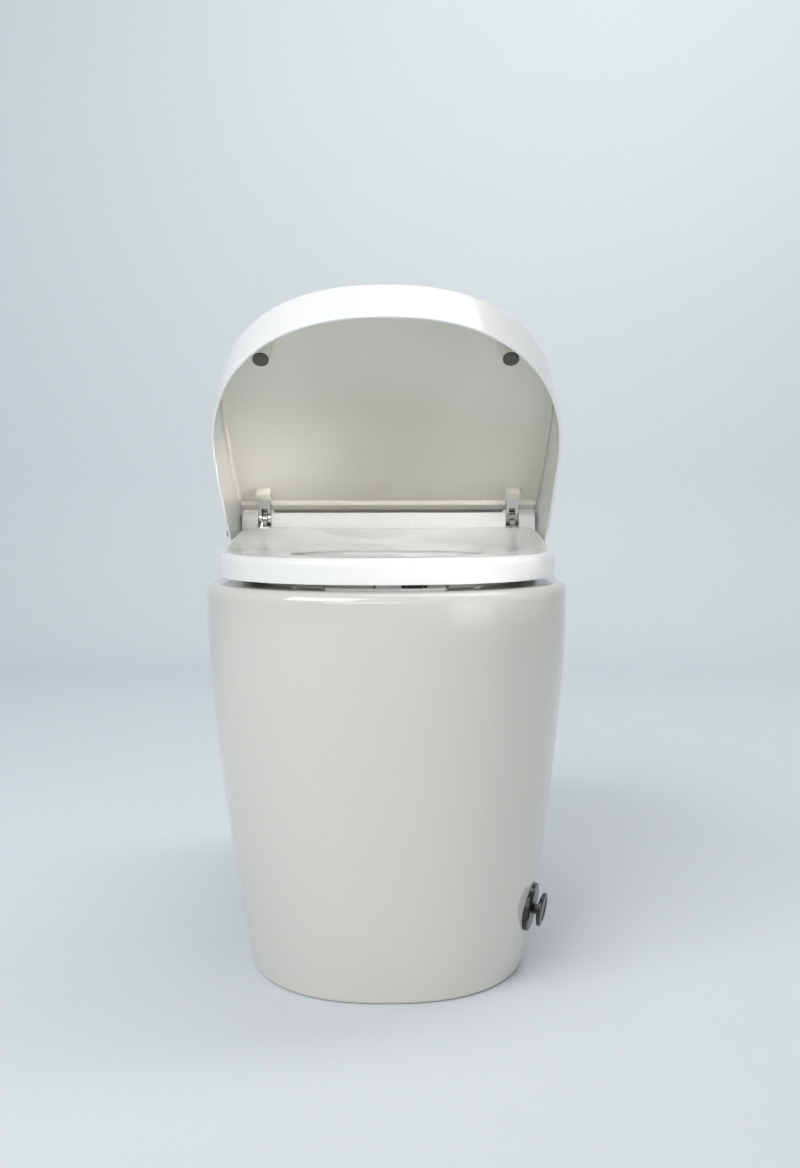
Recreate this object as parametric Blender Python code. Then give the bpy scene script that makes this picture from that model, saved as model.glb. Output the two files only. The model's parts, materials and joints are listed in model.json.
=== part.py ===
import math

import bmesh
import bpy
from mathutils import Matrix, Vector

# Whole toilet: +Z up, the front towards -Y, metres
BODY_HALF_WIDTH = 0.198
BODY_FRONT_REACH = 0.215
BODY_REAR_REACH = 0.385
WIDEST_Y = (BODY_FRONT_REACH - BODY_REAR_REACH) / 2
RIM_HEIGHT = 0.421
CLEAR = 0.0003
OVERRUN = 0.010
FRONT_POWER = 2.35
REAR_POWER = 3.2
ROUND_SIDES = 56
BARREL_SIDES = 16
DIGITS = 7
BACK_Y = WIDEST_Y + BODY_REAR_REACH
SIDES = ((-1, "left"), (1, "right"))

# Ceramic casting
SIDE_TAPER = 0.0445
FRONT_TAPER = 0.045
REAR_TAPER = 0.018
TAPER_TOP = 0.400
TAPER_POWER = 1.6
BODY_LEVEL_SHARES = (0.05, 0.14, 0.27, 0.42, 0.58, 0.74, 0.88)
FOOT_EDGE = 0.004
RIM_EDGE = 0.012
SKIRT_WALL = 0.014
RIM_DEPTH = 0.036
BOWL_Y = -0.105
BOWL_HALF_WIDTH = 0.134
BOWL_FRONT_REACH = 0.142
BOWL_REAR_REACH = 0.128
BOWL_DEPTH = 0.300
BOWL_SHIFT = 0.050
BOWL_POWER = 2.2
BOWL_SIDES = 40
BOWL_WALL = 0.013
BOWL_EDGE = 0.007
BOWL_DEPTH_SHARES = (0.0, 0.03, 0.22, 0.45, 0.66, 0.82, 0.93, 1.0)
BOWL_SIZE_SHARES = (1.0, 1.0, 0.97, 0.88, 0.70, 0.50, 0.36, 0.24)
THROAT_Z = 0.1495
THROAT_Y = 0.062
WELL_HALF_WIDTH = 0.122
WELL_FRONT_Y = 0.078
WELL_REAR_Y = 0.240
SERVICE_HALF_WIDTH = 0.070
SERVICE_HEIGHT = 0.140
SERVICE_EDGE = 0.020

# Trapway, outlet seal and floor fixings
TRAP_RADIUS = 0.036
TRAP_BORE = 0.027
TRAP_CREST_Z = 0.252
TRAP_ENTRY_RUN = 0.010
TRAP_ENTRY_BEND = 0.042
TRAP_CREST_BEND = 0.050
TRAP_CLIMB_DEGREES = 70.0
SEAL_RADIUS = 0.0405
SEAL_HEIGHT = 0.022
BRACKET_Y = -0.030
BRACKET_LENGTH = 0.040
BRACKET_WIDTH = 0.030
BRACKET_PLATE = 0.003
BRACKET_HOLE = 0.0035

# Lid and rear cover share one crown
CROWN_SIDE_STEP = 0.005
CROWN_FRONT_STEP = 0.001
CROWN_HALF_WIDTH = BODY_HALF_WIDTH - CROWN_SIDE_STEP
CROWN_FRONT_REACH = BODY_FRONT_REACH - CROWN_FRONT_STEP
CROWN_REAR_REACH = BODY_REAR_REACH - CROWN_SIDE_STEP
CROWN_WALL = 0.003
CROWN_DRAFT = 0.002
CROWN_EDGE = 0.009
LID_RIM_GAP = 0.003
LID_FRONT_HEIGHT = 0.482
HINGE_Y = 0.0675
HINGE_Z = 0.485
HINGE_TOP = 0.022
LID_OPEN_DEGREES = 42.3
EAR_REACH = 0.012
TAIL_CLEAR = 0.0042
SWEEP_LEAN = 0.0045
PANEL_THICK = 0.0025
PANEL_DROP = 0.0075
PANEL_RIDGE = 0.003
RIB_LENGTH = 0.0147
RIB_HEIGHT = 0.004
RIB_SLOPE = 0.0042
POST_INSET = 0.062
POST_X = CROWN_HALF_WIDTH - POST_INSET
POST_Y = -0.217
POST_RADIUS = 0.010
PAD_THICK = 0.003
PAD_RADIUS = 0.0085
PAD_GAP = 0.0005

# Seat
SEAT_SIDE_STEP = 0.0078
SEAT_HALF_WIDTH = CROWN_HALF_WIDTH - SEAT_SIDE_STEP
SEAT_FRONT_REACH = 0.206
SEAT_REAR_Y = 0.0525
SEAT_REAR_POWER = 12.0
SEAT_REAR_SHARES = (0.0, 0.25, 0.45, 0.56, 0.66, 0.75, 0.83, 0.90, 0.95, 0.98, 0.995, 1.0)
SEAT_BOTTOM = 0.4275
SEAT_TOP = 0.453
SEAT_RISE = 0.0225
SEAT_RISE_Y = -0.012
SEAT_SIDE_LEAD = 0.158
SEAT_RISE_POWER = 1.6
SEAT_EDGE = 0.008
SEAT_SKIN = 0.003
SEAT_SIDES = 48
HOLE_Y = -0.110
HOLE_HALF_WIDTH = 0.106
HOLE_FRONT_REACH = 0.118
HOLE_REAR_REACH = 0.096
HOLE_POWER = 2.2
HOLE_ROLL = 0.014
HEATER_THICK = 0.001
BASE_THICK = 0.0025
BUFFER_LENGTH = 0.030
BUFFER_WIDTH = 0.009
BUFFER_INSET = 0.026
BUFFER_DEGREES = ((-66.0, "front"), (22.0, "rear"))

# Hinges, side by side along one axis
HINGE_INSET = 0.0385
HINGE_X = CROWN_HALF_WIDTH - HINGE_INSET
KNUCKLE_RADIUS = 0.0075
FORK_WIDTH = 0.0145
FORK_CHEEK = 0.0034
TAIL_GAP = 0.002
TAIL_HALF_WIDTH = HINGE_X - FORK_WIDTH / 2 - TAIL_GAP
KNUCKLE_GAP = 0.0005
PIN_RADIUS = 0.003
STRAP_REACH = 0.0297
STRAP_THICK = 0.0040
SEAT_LEG_DEPTH = 0.0185
SEAT_LEG_FRONT = 0.026
SEAT_LEG_REAR = 0.0145
SEAT_LEG_RISE = 0.006
STRAP_BOSS_LENGTH = 0.014
STRAP_BOSS_HEIGHT = 0.008
STRAP_BOSS_HALF_WIDTH = 0.0095
SEAT_FOOT_TOP = 0.0095
PULLEY_RADIUS = 0.0055
PULLEY_WIDTH = 0.0050
BELT_THICK = 0.0012
BLOCK_SKIN = 0.0012
DAMPER_LENGTH = 0.013
BLOCK_DEPTH = 0.019
BLOCK_RISE = 0.0085
DAMPER_RADIUS = 0.0060

# Rear cover and chassis tray
COVER_EDGE = 0.013
FASCIA_FRONT = 0.0095
FASCIA_THICK = 0.0033
FASCIA_RISE = 0.0066
PLATE_THICK = 0.004
TUB_WALL = 0.003
TUB_FLOOR = 0.300
WAND_SLOT_LEFT = -0.0185
WAND_SLOT_RIGHT = 0.0475
SHELF_DEPTH = 0.014
SHELF_Y = (0.116, 0.190)

# Lid and seat drives
MOTOR_BACK = 0.034
MOTOR_DROP = 0.036
MOTOR_RADIUS = 0.014
MOTOR_LENGTH = 0.060
MOTOR_SHAFT = 0.0025
CRADLE_LENGTH = 0.030

# Wash wand, sloping down to the bowl
WAND_Y = 0.045
WAND_Z = 0.404
WAND_DEGREES = 22.0
WAND_RADIUS = 0.0075
WAND_LENGTH = 0.182
WAND_OUT = 0.012
GUIDE_LENGTH = 0.200
GUIDE_HALF_WIDTH = 0.016
GUIDE_HALF_HEIGHT = 0.011
SHIELD_THICK = 0.0035
GUIDE_EAR_S = 0.036
GUIDE_EAR_LENGTH = 0.012
GUIDE_EAR_HALF_WIDTH = 0.030
ROLLER_RADIUS = 0.006
ROLLER_S = 0.078
ROLLER_HEIGHT = 0.008
STEPPER_RADIUS = 0.0105
STEPPER_HEIGHT = 0.016

# Water, air and power parts
HEATER_LOW = (-0.130, 0.158)
HEATER_SIZE = (0.080, 0.074, 0.056)
SCROLL_X = 0.085
SCROLL_Y = 0.192
SCROLL_RADIUS = 0.034
SCROLL_HEIGHT = 0.030
SCROLL_WALL = 0.003
IMPELLER_RADIUS = 0.026
IMPELLER_HUB = 0.008
IMPELLER_BLADES = 10
IMPELLER_LIFT = 0.002
BLADE_TIP_SHARE = 0.055
BLADE_ROOT_SHARE = 0.22
AIR_MOTOR_RADIUS = 0.013
AIR_MOTOR_HEIGHT = 0.018
DUCT_X = (0.0205, 0.0450)
DUCT_HALF_HEIGHT = 0.011
DUCT_LENGTH = 0.150
DUCT_DEGREES = 14.4
DUCT_WALL = 0.0025
LINK_Y = (0.165, 0.187)
LINK_LIFT = 0.003
LINK_HEIGHT = 0.021
ODOUR_X = -0.072
ODOUR_Y = 0.122
ODOUR_SIZE = 0.044
ODOUR_HEIGHT = 0.020
ODOUR_BORE = 0.019
ODOUR_BLADES = 7
BOARD_SIZE = (0.110, 0.0016, 0.040)
BOARD_Y = 0.264
PUMP_RADIUS = 0.032
PUMP_LENGTH = 0.085
PUMP_Y = 0.200
PUMP_X = -0.112
SUPPLY_SIZE = (0.095, 0.070, 0.055)
SUPPLY_LOW = (0.020, 0.158)
VALVE_SIZE = (0.055, 0.045, 0.038)
VALVE_Y = 0.098
VALVE_X = 0.040
SOLENOID_RADIUS = 0.014
SOLENOID_HEIGHT = 0.026
NIPPLE_RADIUS = 0.0105
NIPPLE_BORE = 0.006
NIPPLE_LENGTH = 0.026
NIPPLE_NUT = 0.015
NIPPLE_NUT_HEIGHT = 0.008
NIPPLE_X = 0.060
NIPPLE_Y = 0.150
GLAND_X = -0.060
GLAND_Y = 0.150

# Side knob
KNOB_Y = 0.100
KNOB_Z = 0.470
KNOB_RADIUS = 0.0095
KNOB_CAP = 0.0137
KNOB_TRAVEL = 0.002
KNOB_STEM_RADIUS = 0.004
BEZEL_THICK = 0.003
KNOB_RIBS = 20
KNOB_RIB_SHARE = 0.94

# Foot button
FOOT_Z = 0.070
FOOT_SLIDE = 0.082
FOOT_FLANGE_RADIUS = 0.026
FOOT_FLANGE_THICK = 0.004
FOOT_DISC_RADIUS = 0.018
FOOT_DISC_THICK = 0.004
FOOT_NECK_RADIUS = 0.012
FOOT_STANDOFF = 0.007
FOOT_TRAVEL = 0.005
FOOT_STEM_RADIUS = 0.004
FOOT_STEM_LENGTH = 0.028
FOOT_BUSH_RADIUS = 0.009
FOOT_BUSH_LENGTH = 0.020
FOOT_SEAT_DEPTH = 0.003
SPRING_RADIUS = 0.0063
SPRING_WIRE = 0.0009
SPRING_TURNS = 5.0
SPRING_STEPS = 8
SPRING_ROOM_SHARE = 0.75
FLANGE_EDGE_SHARE = 0.4
SWITCH_SIZE = 0.016

MATERIALS = {
    "glazed_ceramic": ((0.80, 0.80, 0.77, 1.0), 0.08, 0.0),
    "white_plastic": ((0.84, 0.84, 0.81, 1.0), 0.18, 0.0),
    "chrome": ((0.75, 0.75, 0.76, 1.0), 0.08, 1.0),
    "steel": ((0.55, 0.56, 0.57, 1.0), 0.30, 1.0),
    "brass": ((0.70, 0.52, 0.25, 1.0), 0.30, 1.0),
    "grey_rubber": ((0.10, 0.10, 0.10, 1.0), 0.80, 0.0),
    "white_rubber": ((0.70, 0.70, 0.68, 1.0), 0.60, 0.0),
    "black_plastic": ((0.015, 0.015, 0.016, 1.0), 0.25, 0.0),
    "grey_plastic": ((0.42, 0.43, 0.44, 1.0), 0.45, 0.0),
    "board": ((0.02, 0.16, 0.07, 1.0), 0.40, 0.0),
    "foil": ((0.65, 0.40, 0.15, 1.0), 0.40, 1.0),
}


def clear_scene():
    for item in list(bpy.data.objects):
        bpy.data.objects.remove(item)


def material(name):
    found = bpy.data.materials.get(name)
    if found:
        return found
    colour, roughness, metallic = MATERIALS[name]
    made = bpy.data.materials.new(name)
    made.use_nodes = True
    shader = made.node_tree.nodes["Principled BSDF"]
    shader.inputs["Base Color"].default_value = colour
    shader.inputs["Roughness"].default_value = roughness
    shader.inputs["Metallic"].default_value = metallic
    return made


def solid(name, points, faces):
    """Make an object from points and faces, with its faces outward."""
    mesh = bpy.data.meshes.new(name)
    mesh.from_pydata([tuple(point) for point in points], [], faces)
    work = bmesh.new()
    work.from_mesh(mesh)
    bmesh.ops.recalc_face_normals(work, faces=work.faces)
    work.to_mesh(mesh)
    work.free()
    made = bpy.data.objects.new(name, mesh)
    bpy.context.collection.objects.link(made)
    return made


def loft(name, rings, hoop=False):
    """Skin a stack of rings; a hoop also joins its last ring to its first."""
    count = len(rings[0])
    points = [point for ring in rings for point in ring]
    faces = []
    for row in range(len(rings) if hoop else len(rings) - 1):
        low = row * count
        high = (row + 1) % len(rings) * count
        for spot in range(count):
            after = (spot + 1) % count
            faces.append((low + spot, low + after, high + after, high + spot))
    if not hoop:
        faces.append(tuple(range(count)))
        faces.append(tuple(range((len(rings) - 1) * count, len(rings) * count)))
    return solid(name, points, faces)


def prism(name, outline, axis, start, end):
    """Extrude an outline along X, Y or Z; its pairs are the other two axes."""
    order = {"X": lambda a, b, t: (t, a, b), "Y": lambda a, b, t: (a, t, b), "Z": lambda a, b, t: (a, b, t)}
    place = order[axis]
    return loft(name, [[place(a, b, level) for a, b in outline] for level in (start, end)])


def block(name, low, high):
    outline = [(low[0], low[1]), (high[0], low[1]), (high[0], high[1]), (low[0], high[1])]
    return prism(name, outline, "Z", low[2], high[2])


def arc(radius, begin, end, count, centre=(0.0, 0.0)):
    """Points on an arc, angles in degrees."""
    points = []
    for spot in range(count):
        angle = math.radians(begin + (end - begin) * spot / (count - 1))
        points.append((centre[0] + radius * math.cos(angle), centre[1] + radius * math.sin(angle)))
    return points


def circle(radius, sides=BARREL_SIDES, centre=(0.0, 0.0)):
    return arc(radius, 0.0, 360.0, sides + 1, centre)[:-1]


def turned(name, profile, start, direction, sides=BARREL_SIDES):
    """Turn a profile of (distance along the axis, radius) pairs round an axis."""
    along = Vector(direction).normalized()
    side = along.orthogonal().normalized()
    up = along.cross(side)
    rings = []
    for distance, radius in profile:
        centre = Vector(start) + along * distance
        rings.append([centre + side * a + up * b for a, b in circle(radius, sides)])
    return loft(name, rings)


def barrel(name, radius, start, end, sides=BARREL_SIDES):
    span = Vector(end) - Vector(start)
    return turned(name, [(0.0, radius), (span.length, radius)], start, span, sides)


def carve(body, *tools, operation="DIFFERENCE"):
    """Cut the tools out of the body, or join them to it, and drop them."""
    for tool in tools:
        step = body.modifiers.new("carve", "BOOLEAN")
        step.operation = operation
        step.solver = "EXACT"
        step.object = tool
    graph = bpy.context.evaluated_depsgraph_get()
    body.data = bpy.data.meshes.new_from_object(body.evaluated_get(graph))
    body.modifiers.clear()
    for tool in tools:
        bpy.data.objects.remove(tool)
    return body


def weld(body, *tools):
    return carve(body, *tools, operation="UNION")


def finish(body, name, colour, holder=None):
    """Name a piece, give it its material and hang it on its axis."""
    body.name = name
    body.data.name = name
    body.data.materials.clear()
    body.data.materials.append(material(colour))
    for face in body.data.polygons:
        face.material_index = 0
    body.data.shade_smooth()
    body.data.set_sharp_from_angle(angle=math.radians(30.0))
    if holder:
        body.data.transform(Matrix.Translation(-holder.location))
        body.parent = holder
    return body


def axis_empty(name, place):
    made = bpy.data.objects.new(name, None)
    made.location = place
    bpy.context.collection.objects.link(made)
    return made


def even_angles(sides):
    return [2 * math.pi * spot / sides for spot in range(sides)]


def egg(half_width, front, rear, centre_y, level, inset=0.0, powers=(FRONT_POWER, REAR_POWER), angles=None):
    """A plan outline: rounder at the front, fuller at the rear. The level may follow y."""
    ring = []
    for angle in angles or even_angles(ROUND_SIDES):
        across, along = math.cos(angle), math.sin(angle)
        reach, power = (front, powers[0]) if along < 0 else (rear, powers[1])
        x = math.copysign(abs(across) ** (2 / power), across) * (half_width - inset)
        y = centre_y + math.copysign(abs(along) ** (2 / power), along) * (reach - inset)
        z = level(x, y) if callable(level) else level
        ring.append((round(x, DIGITS), round(y, DIGITS), round(z, DIGITS)))
    return ring


def taper_share(z):
    return max(0.0, (TAPER_TOP - z) / TAPER_TOP) ** TAPER_POWER


def body_sizes(z):
    share = taper_share(z)
    half_width = BODY_HALF_WIDTH - SIDE_TAPER * share
    front = BODY_FRONT_REACH - FRONT_TAPER * share
    rear = BODY_REAR_REACH - REAR_TAPER * share
    return half_width, front, rear


def body_ring(z, inset=0.0):
    half_width, front, rear = body_sizes(z)
    return egg(half_width, front, rear, WIDEST_Y, z, inset)


def body_levels(low, high):
    return [low] + [low + (high - low) * share for share in BODY_LEVEL_SHARES] + [high]


def bowl_ring(depth_share, size_share, grow, lift=0.0):
    depth = BOWL_DEPTH * depth_share
    centre = BOWL_Y + BOWL_SHIFT * depth_share
    half_width = BOWL_HALF_WIDTH * size_share + grow
    front = BOWL_FRONT_REACH * size_share + grow
    rear = BOWL_REAR_REACH * size_share + grow
    powers = (BOWL_POWER, BOWL_POWER)
    level = RIM_HEIGHT - depth + lift
    return egg(half_width, front, rear, centre, level, 0.0, powers, even_angles(BOWL_SIDES))


def bowl_solid(name, grow, top_lift):
    """The hollow of the bowl, or the ceramic round it when it is grown by a wall."""
    rings = []
    for depth_share, size_share in zip(BOWL_DEPTH_SHARES[1:], BOWL_SIZE_SHARES[1:]):
        rings.append(bowl_ring(depth_share, size_share, grow, -grow if depth_share == 1 else 0.0))
    if top_lift > 0:
        flare = BOWL_EDGE * (1 - math.sqrt(0.5))
        rings.insert(0, [(x, y, RIM_HEIGHT - flare) for x, y, z in bowl_ring(0.0, 1.0, flare)])
        rings.insert(0, [(x, y, RIM_HEIGHT) for x, y, z in bowl_ring(0.0, 1.0, BOWL_EDGE)])
        rings.insert(0, [(x, y, RIM_HEIGHT + top_lift) for x, y, z in bowl_ring(0.0, 1.0, BOWL_EDGE)])
    else:
        rings[0] = [(x, y, RIM_HEIGHT + top_lift) for x, y, z in rings[0]]
    return loft(name, rings)


def foot_frame():
    """Where the foot button sits on the skirt, and which way it faces."""
    half_width, front, rear = body_sizes(FOOT_Z)
    along = FOOT_SLIDE / front
    across = (1 - along ** FRONT_POWER) ** (1 / FRONT_POWER)
    point = Vector((half_width * across, WIDEST_Y - FOOT_SLIDE, FOOT_Z))
    above = body_sizes(FOOT_Z + FOOT_FLANGE_RADIUS)
    lean = (above[0] - half_width) / FOOT_FLANGE_RADIUS
    slope_x = across ** (FRONT_POWER - 1) / half_width
    slope_y = along ** (FRONT_POWER - 1) / front
    outward = Vector((slope_x, -slope_y, 0.0)).normalized()
    outward.z = -lean
    return point, outward.normalized()


def ceramic_body():
    levels = body_levels(FOOT_EDGE, RIM_HEIGHT - RIM_EDGE)
    rings = [body_ring(0.0, FOOT_EDGE)] + [body_ring(z) for z in levels]
    for degrees in (30.0, 60.0, 90.0):
        turn = math.radians(degrees)
        inset = RIM_EDGE * (1 - math.cos(turn))
        rings.append(body_ring(RIM_HEIGHT - RIM_EDGE * (1 - math.sin(turn)), inset))
    body = loft("body", rings)
    hollow_levels = body_levels(FOOT_EDGE, RIM_HEIGHT - RIM_DEPTH)
    hollow_rings = [body_ring(z, SKIRT_WALL) for z in hollow_levels]
    hollow_rings.insert(0, [(x, y, -OVERRUN) for x, y, z in hollow_rings[0]])
    hollow = loft("hollow", hollow_rings)
    bowl_back = (0.0, BOWL_Y + BOWL_SHIFT, THROAT_Z)
    neck = barrel("neck", TRAP_RADIUS, bowl_back, (0.0, THROAT_Y, THROAT_Z))
    carve(hollow, bowl_solid("bowl_wall", BOWL_WALL, -BOWL_WALL), neck)
    point, outward = foot_frame()
    boss_end = point - outward * (SKIRT_WALL + FOOT_SEAT_DEPTH)
    carve(body, hollow, bowl_solid("bowl", 0.0, OVERRUN))
    throat = barrel("throat", TRAP_BORE, bowl_back, (0.0, THROAT_Y + OVERRUN, THROAT_Z))
    well_low = (-WELL_HALF_WIDTH, WELL_FRONT_Y, RIM_HEIGHT - RIM_DEPTH - OVERRUN)
    well = block("well", well_low, (WELL_HALF_WIDTH, WELL_REAR_Y, RIM_HEIGHT + OVERRUN))
    notch_low = (WAND_SLOT_LEFT, BOWL_Y + BOWL_REAR_REACH - OVERRUN, WAND_Z - GUIDE_HALF_HEIGHT - OVERRUN)
    notch_high = (WAND_SLOT_RIGHT, WELL_FRONT_Y + OVERRUN, RIM_HEIGHT + OVERRUN)
    notch = block("notch", notch_low, notch_high)
    arch = [(-SERVICE_HALF_WIDTH, -OVERRUN), (SERVICE_HALF_WIDTH, -OVERRUN)]
    for side, begin, end in ((1, 0.0, 90.0), (-1, 90.0, 180.0)):
        corner = (side * (SERVICE_HALF_WIDTH - SERVICE_EDGE), SERVICE_HEIGHT - SERVICE_EDGE)
        arch += arc(SERVICE_EDGE, begin, end, 4, corner)
    inner_y = BACK_Y - REAR_TAPER - SKIRT_WALL
    service = prism("service", arch, "Y", inner_y - SERVICE_EDGE, BACK_Y + OVERRUN)
    seat_start = point - outward * FOOT_SEAT_DEPTH
    seat_end = point + outward * (SKIRT_WALL + OVERRUN)
    flat = barrel("flat", FOOT_FLANGE_RADIUS + CLEAR, seat_start, seat_end, BARREL_SIDES * 2)
    bore = barrel("bore", FOOT_BUSH_RADIUS + CLEAR, boss_end - outward * OVERRUN, seat_end)
    carve(body, throat, well, notch, service, flat, bore)
    finish(body, "ceramic_body", "glazed_ceramic")


def trapway():
    """The path from the bowl's throat up over its crest and down to the floor."""
    climb = math.radians(TRAP_CLIMB_DEGREES)
    start_y = THROAT_Y + CLEAR
    first = (start_y + TRAP_ENTRY_RUN, THROAT_Z + TRAP_ENTRY_BEND)
    path = [(start_y, THROAT_Z)] + arc(TRAP_ENTRY_BEND, -90.0, TRAP_CLIMB_DEGREES - 90, 6, first)
    crest_z = TRAP_CREST_Z - TRAP_CREST_BEND
    rise = crest_z + TRAP_CREST_BEND * math.cos(climb) - path[-1][1]
    crest_y = path[-1][0] + rise / math.tan(climb) + TRAP_CREST_BEND * math.sin(climb)
    path += arc(TRAP_CREST_BEND, 90 + TRAP_CLIMB_DEGREES, 0.0, 10, (crest_y, crest_z))
    return path, crest_y + TRAP_CREST_BEND


def pipe_rings(points, radius):
    """Rings square to a path that lies in the plane x = 0."""
    rings = []
    for spot, (y, z) in enumerate(points):
        before = points[max(spot - 1, 0)]
        after = points[min(spot + 1, len(points) - 1)]
        along = Vector((0.0, after[0] - before[0], after[1] - before[1])).normalized()
        across = Vector((0.0, -along.z, along.y))
        centre = Vector((0.0, y, z))
        rings.append([centre + Vector((a, 0.0, 0.0)) + across * b for a, b in circle(radius)])
    return rings


def drain():
    path, drop_y = trapway()
    path.append((drop_y, 0.0))
    rings = pipe_rings(path, TRAP_RADIUS) + list(reversed(pipe_rings(path, TRAP_BORE)))
    finish(loft("pipe", rings, hoop=True), "trapway_pipe", "grey_plastic")
    low, high = (0.0, drop_y, 0.0), (0.0, drop_y, SEAL_HEIGHT)
    ring = barrel("ring", SEAL_RADIUS, low, high, BARREL_SIDES * 2)
    low, high = (0.0, drop_y, -OVERRUN), (0.0, drop_y, SEAL_HEIGHT + OVERRUN)
    carve(ring, barrel("ring_bore", TRAP_RADIUS + CLEAR, low, high, BARREL_SIDES * 2))
    finish(ring, "outlet_seal", "grey_rubber")


def crown(name, front_top, rear_top, edge, inset, bottom):
    """The dome that the lid and the rear cover are both cut from."""
    run = HINGE_Y - (WIDEST_Y - CROWN_FRONT_REACH)
    slope = (rear_top - front_top) / run

    def top(x, y):
        return rear_top + slope * (y - HINGE_Y) - inset

    def ring(extra, drop, level=None):
        height = level if level is not None else (lambda x, y: top(x, y) - drop)
        return egg(CROWN_HALF_WIDTH, CROWN_FRONT_REACH, CROWN_REAR_REACH, WIDEST_Y, height, inset + extra)

    rings = [ring(0.0, 0.0, bottom), ring(CROWN_DRAFT, edge)]
    for degrees in (30.0, 60.0, 90.0):
        turn = math.radians(degrees)
        rings.append(ring(CROWN_DRAFT + edge * (1 - math.cos(turn)), edge * (1 - math.sin(turn))))
    return loft(name, rings)


def hinge_point(along, up):
    return HINGE_Y + along, HINGE_Z + up


def lid_slope():
    run = HINGE_Y - (WIDEST_Y - CROWN_FRONT_REACH)
    return (HINGE_Z + HINGE_TOP - LID_FRONT_HEIGHT) / run


def lid_shell(holder):
    rear_top = HINGE_Z + HINGE_TOP
    bottom = RIM_HEIGHT + LID_RIM_GAP
    shell = crown("lid", LID_FRONT_HEIGHT, rear_top, CROWN_EDGE, 0.0, bottom)
    inside = crown("inside", LID_FRONT_HEIGHT, rear_top, CROWN_EDGE, CROWN_WALL, bottom - OVERRUN)
    far = BACK_Y + OVERRUN
    high = rear_top + HINGE_TOP
    wide = BODY_HALF_WIDTH + OVERRUN
    rear = block("rear", (-wide, HINGE_Y + EAR_REACH, -OVERRUN), (wide, far, high + HINGE_TOP))
    core = ear_inside_x()
    middle = block("middle", (-core, HINGE_Y, bottom - OVERRUN), (core, far, high + HINGE_TOP))
    carve(shell, inside, rear, middle)
    outer = HINGE_TOP - CLEAR
    inner = HINGE_TOP - CROWN_WALL + CLEAR
    lap = CROWN_WALL
    drop = lap * lid_slope()
    outline = [(HINGE_Y - lap, HINGE_Z + inner - drop), (HINGE_Y - lap, HINGE_Z + outer - drop)]
    outline += arc(outer, 90.0, 0.0, 7, (HINGE_Y, HINGE_Z)) + arc(inner, 0.0, 90.0, 7, (HINGE_Y, HINGE_Z))
    tail = prism("tail", outline, "X", -TAIL_HALF_WIDTH, TAIL_HALF_WIDTH)
    weld(shell, tail)
    finish(shell, "lid_shell", "white_plastic", holder)


def ear_inside_x():
    """Half the width between the lid's two side walls beside the hinges."""
    return block_x(1) + KNUCKLE_GAP


def lid_rib(rib, low):
    """The stiffening rib across the back of the panel, let in for the two straps."""
    front, back = HINGE_Y - PANEL_RIDGE - RIB_LENGTH, HINGE_Y + OVERRUN
    wide = BODY_HALF_WIDTH + OVERRUN
    level, foot = low(front), low(front) - RIB_HEIGHT - OVERRUN
    ahead = WIDEST_Y - BODY_FRONT_REACH
    ramp = front + RIB_SLOPE * (RIB_HEIGHT + OVERRUN) / RIB_HEIGHT
    outline = [(ahead, low(ahead) - RIB_HEIGHT - OVERRUN), (ramp, foot)]
    outline += [(front, level), (front, level + PANEL_THICK)]
    outline.append((ahead, level + PANEL_THICK))
    carve(rib, prism("ramp", outline, "X", -wide, wide))
    half = FORK_WIDTH / 2 + CLEAR
    for side in (-1, 1):
        low_corner = (side * HINGE_X - half, ahead, foot)
        carve(rib, block("way", low_corner, (side * HINGE_X + half, back, HINGE_Z + HINGE_TOP)))
    return rib


def lid_panel(holder):
    """The smooth inner panel with its posts for the pads and its bosses for the straps."""
    slope = lid_slope()
    low_rear = HINGE_Z + HINGE_TOP - PANEL_DROP

    def low(y, up=0.0):
        return low_rear + slope * (y - HINGE_Y) + up

    inset = CROWN_WALL + CROWN_DRAFT + CROWN_EDGE * (1 - math.cos(math.radians(60.0))) + CLEAR
    sizes = (CROWN_HALF_WIDTH, CROWN_FRONT_REACH, CROWN_REAR_REACH, WIDEST_Y)

    def slab(name, down, up):
        return loft(name, [egg(*sizes, lambda x, y: low(y, lift), inset) for lift in (down, up)])

    panel = slab("panel", 0.0, PANEL_THICK)
    wide = BODY_HALF_WIDTH + OVERRUN
    cut_y = HINGE_Y - PANEL_RIDGE
    high = low_rear + HINGE_TOP
    rear = block("rear", (-wide, cut_y, RIM_HEIGHT), (wide, BACK_Y, high))
    weld(panel, lid_rib(slab("rib", -RIB_HEIGHT, PANEL_THICK / 2), low))
    carve(panel, rear)
    pad_top = SEAT_TOP + PAD_GAP + PAD_THICK
    for side in (-1, 1):
        x = side * POST_X
        start = (x, POST_Y, pad_top + CLEAR)
        end = (x, POST_Y, low(POST_Y) + PANEL_THICK / 2)
        weld(panel, barrel("post", POST_RADIUS, start, end))
    for side in (-1, 1):
        front = HINGE_Y - STRAP_REACH - CLEAR - STRAP_BOSS_LENGTH
        back = HINGE_Y - STRAP_REACH - CLEAR
        half = STRAP_BOSS_HALF_WIDTH
        top = low(front) + PANEL_THICK / 2
        boss_low = (side * HINGE_X - half, front, low(front) - STRAP_BOSS_HEIGHT)
        weld(panel, block("boss", boss_low, (side * HINGE_X + half, back, top)))
    finish(panel, "lid_inner_panel", "white_plastic", holder)


def lid_pads(holder):
    low = SEAT_TOP + PAD_GAP
    for side, word in SIDES:
        x = side * POST_X
        pad = barrel("pad", PAD_RADIUS, (x, POST_Y, low), (x, POST_Y, low + PAD_THICK))
        finish(pad, "lid_pad_" + word, "grey_rubber", holder)


def seat_top_z(x, y):
    """The seat's upper face: a saddle that rises to the hinges, sooner along its sides."""
    begin = SEAT_RISE_Y - SEAT_SIDE_LEAD * (x / SEAT_HALF_WIDTH) ** 2
    share = min(max((y - begin) / (SEAT_REAR_Y - begin), 0.0), 1.0)
    return SEAT_TOP + SEAT_RISE * share ** SEAT_RISE_POWER


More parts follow.
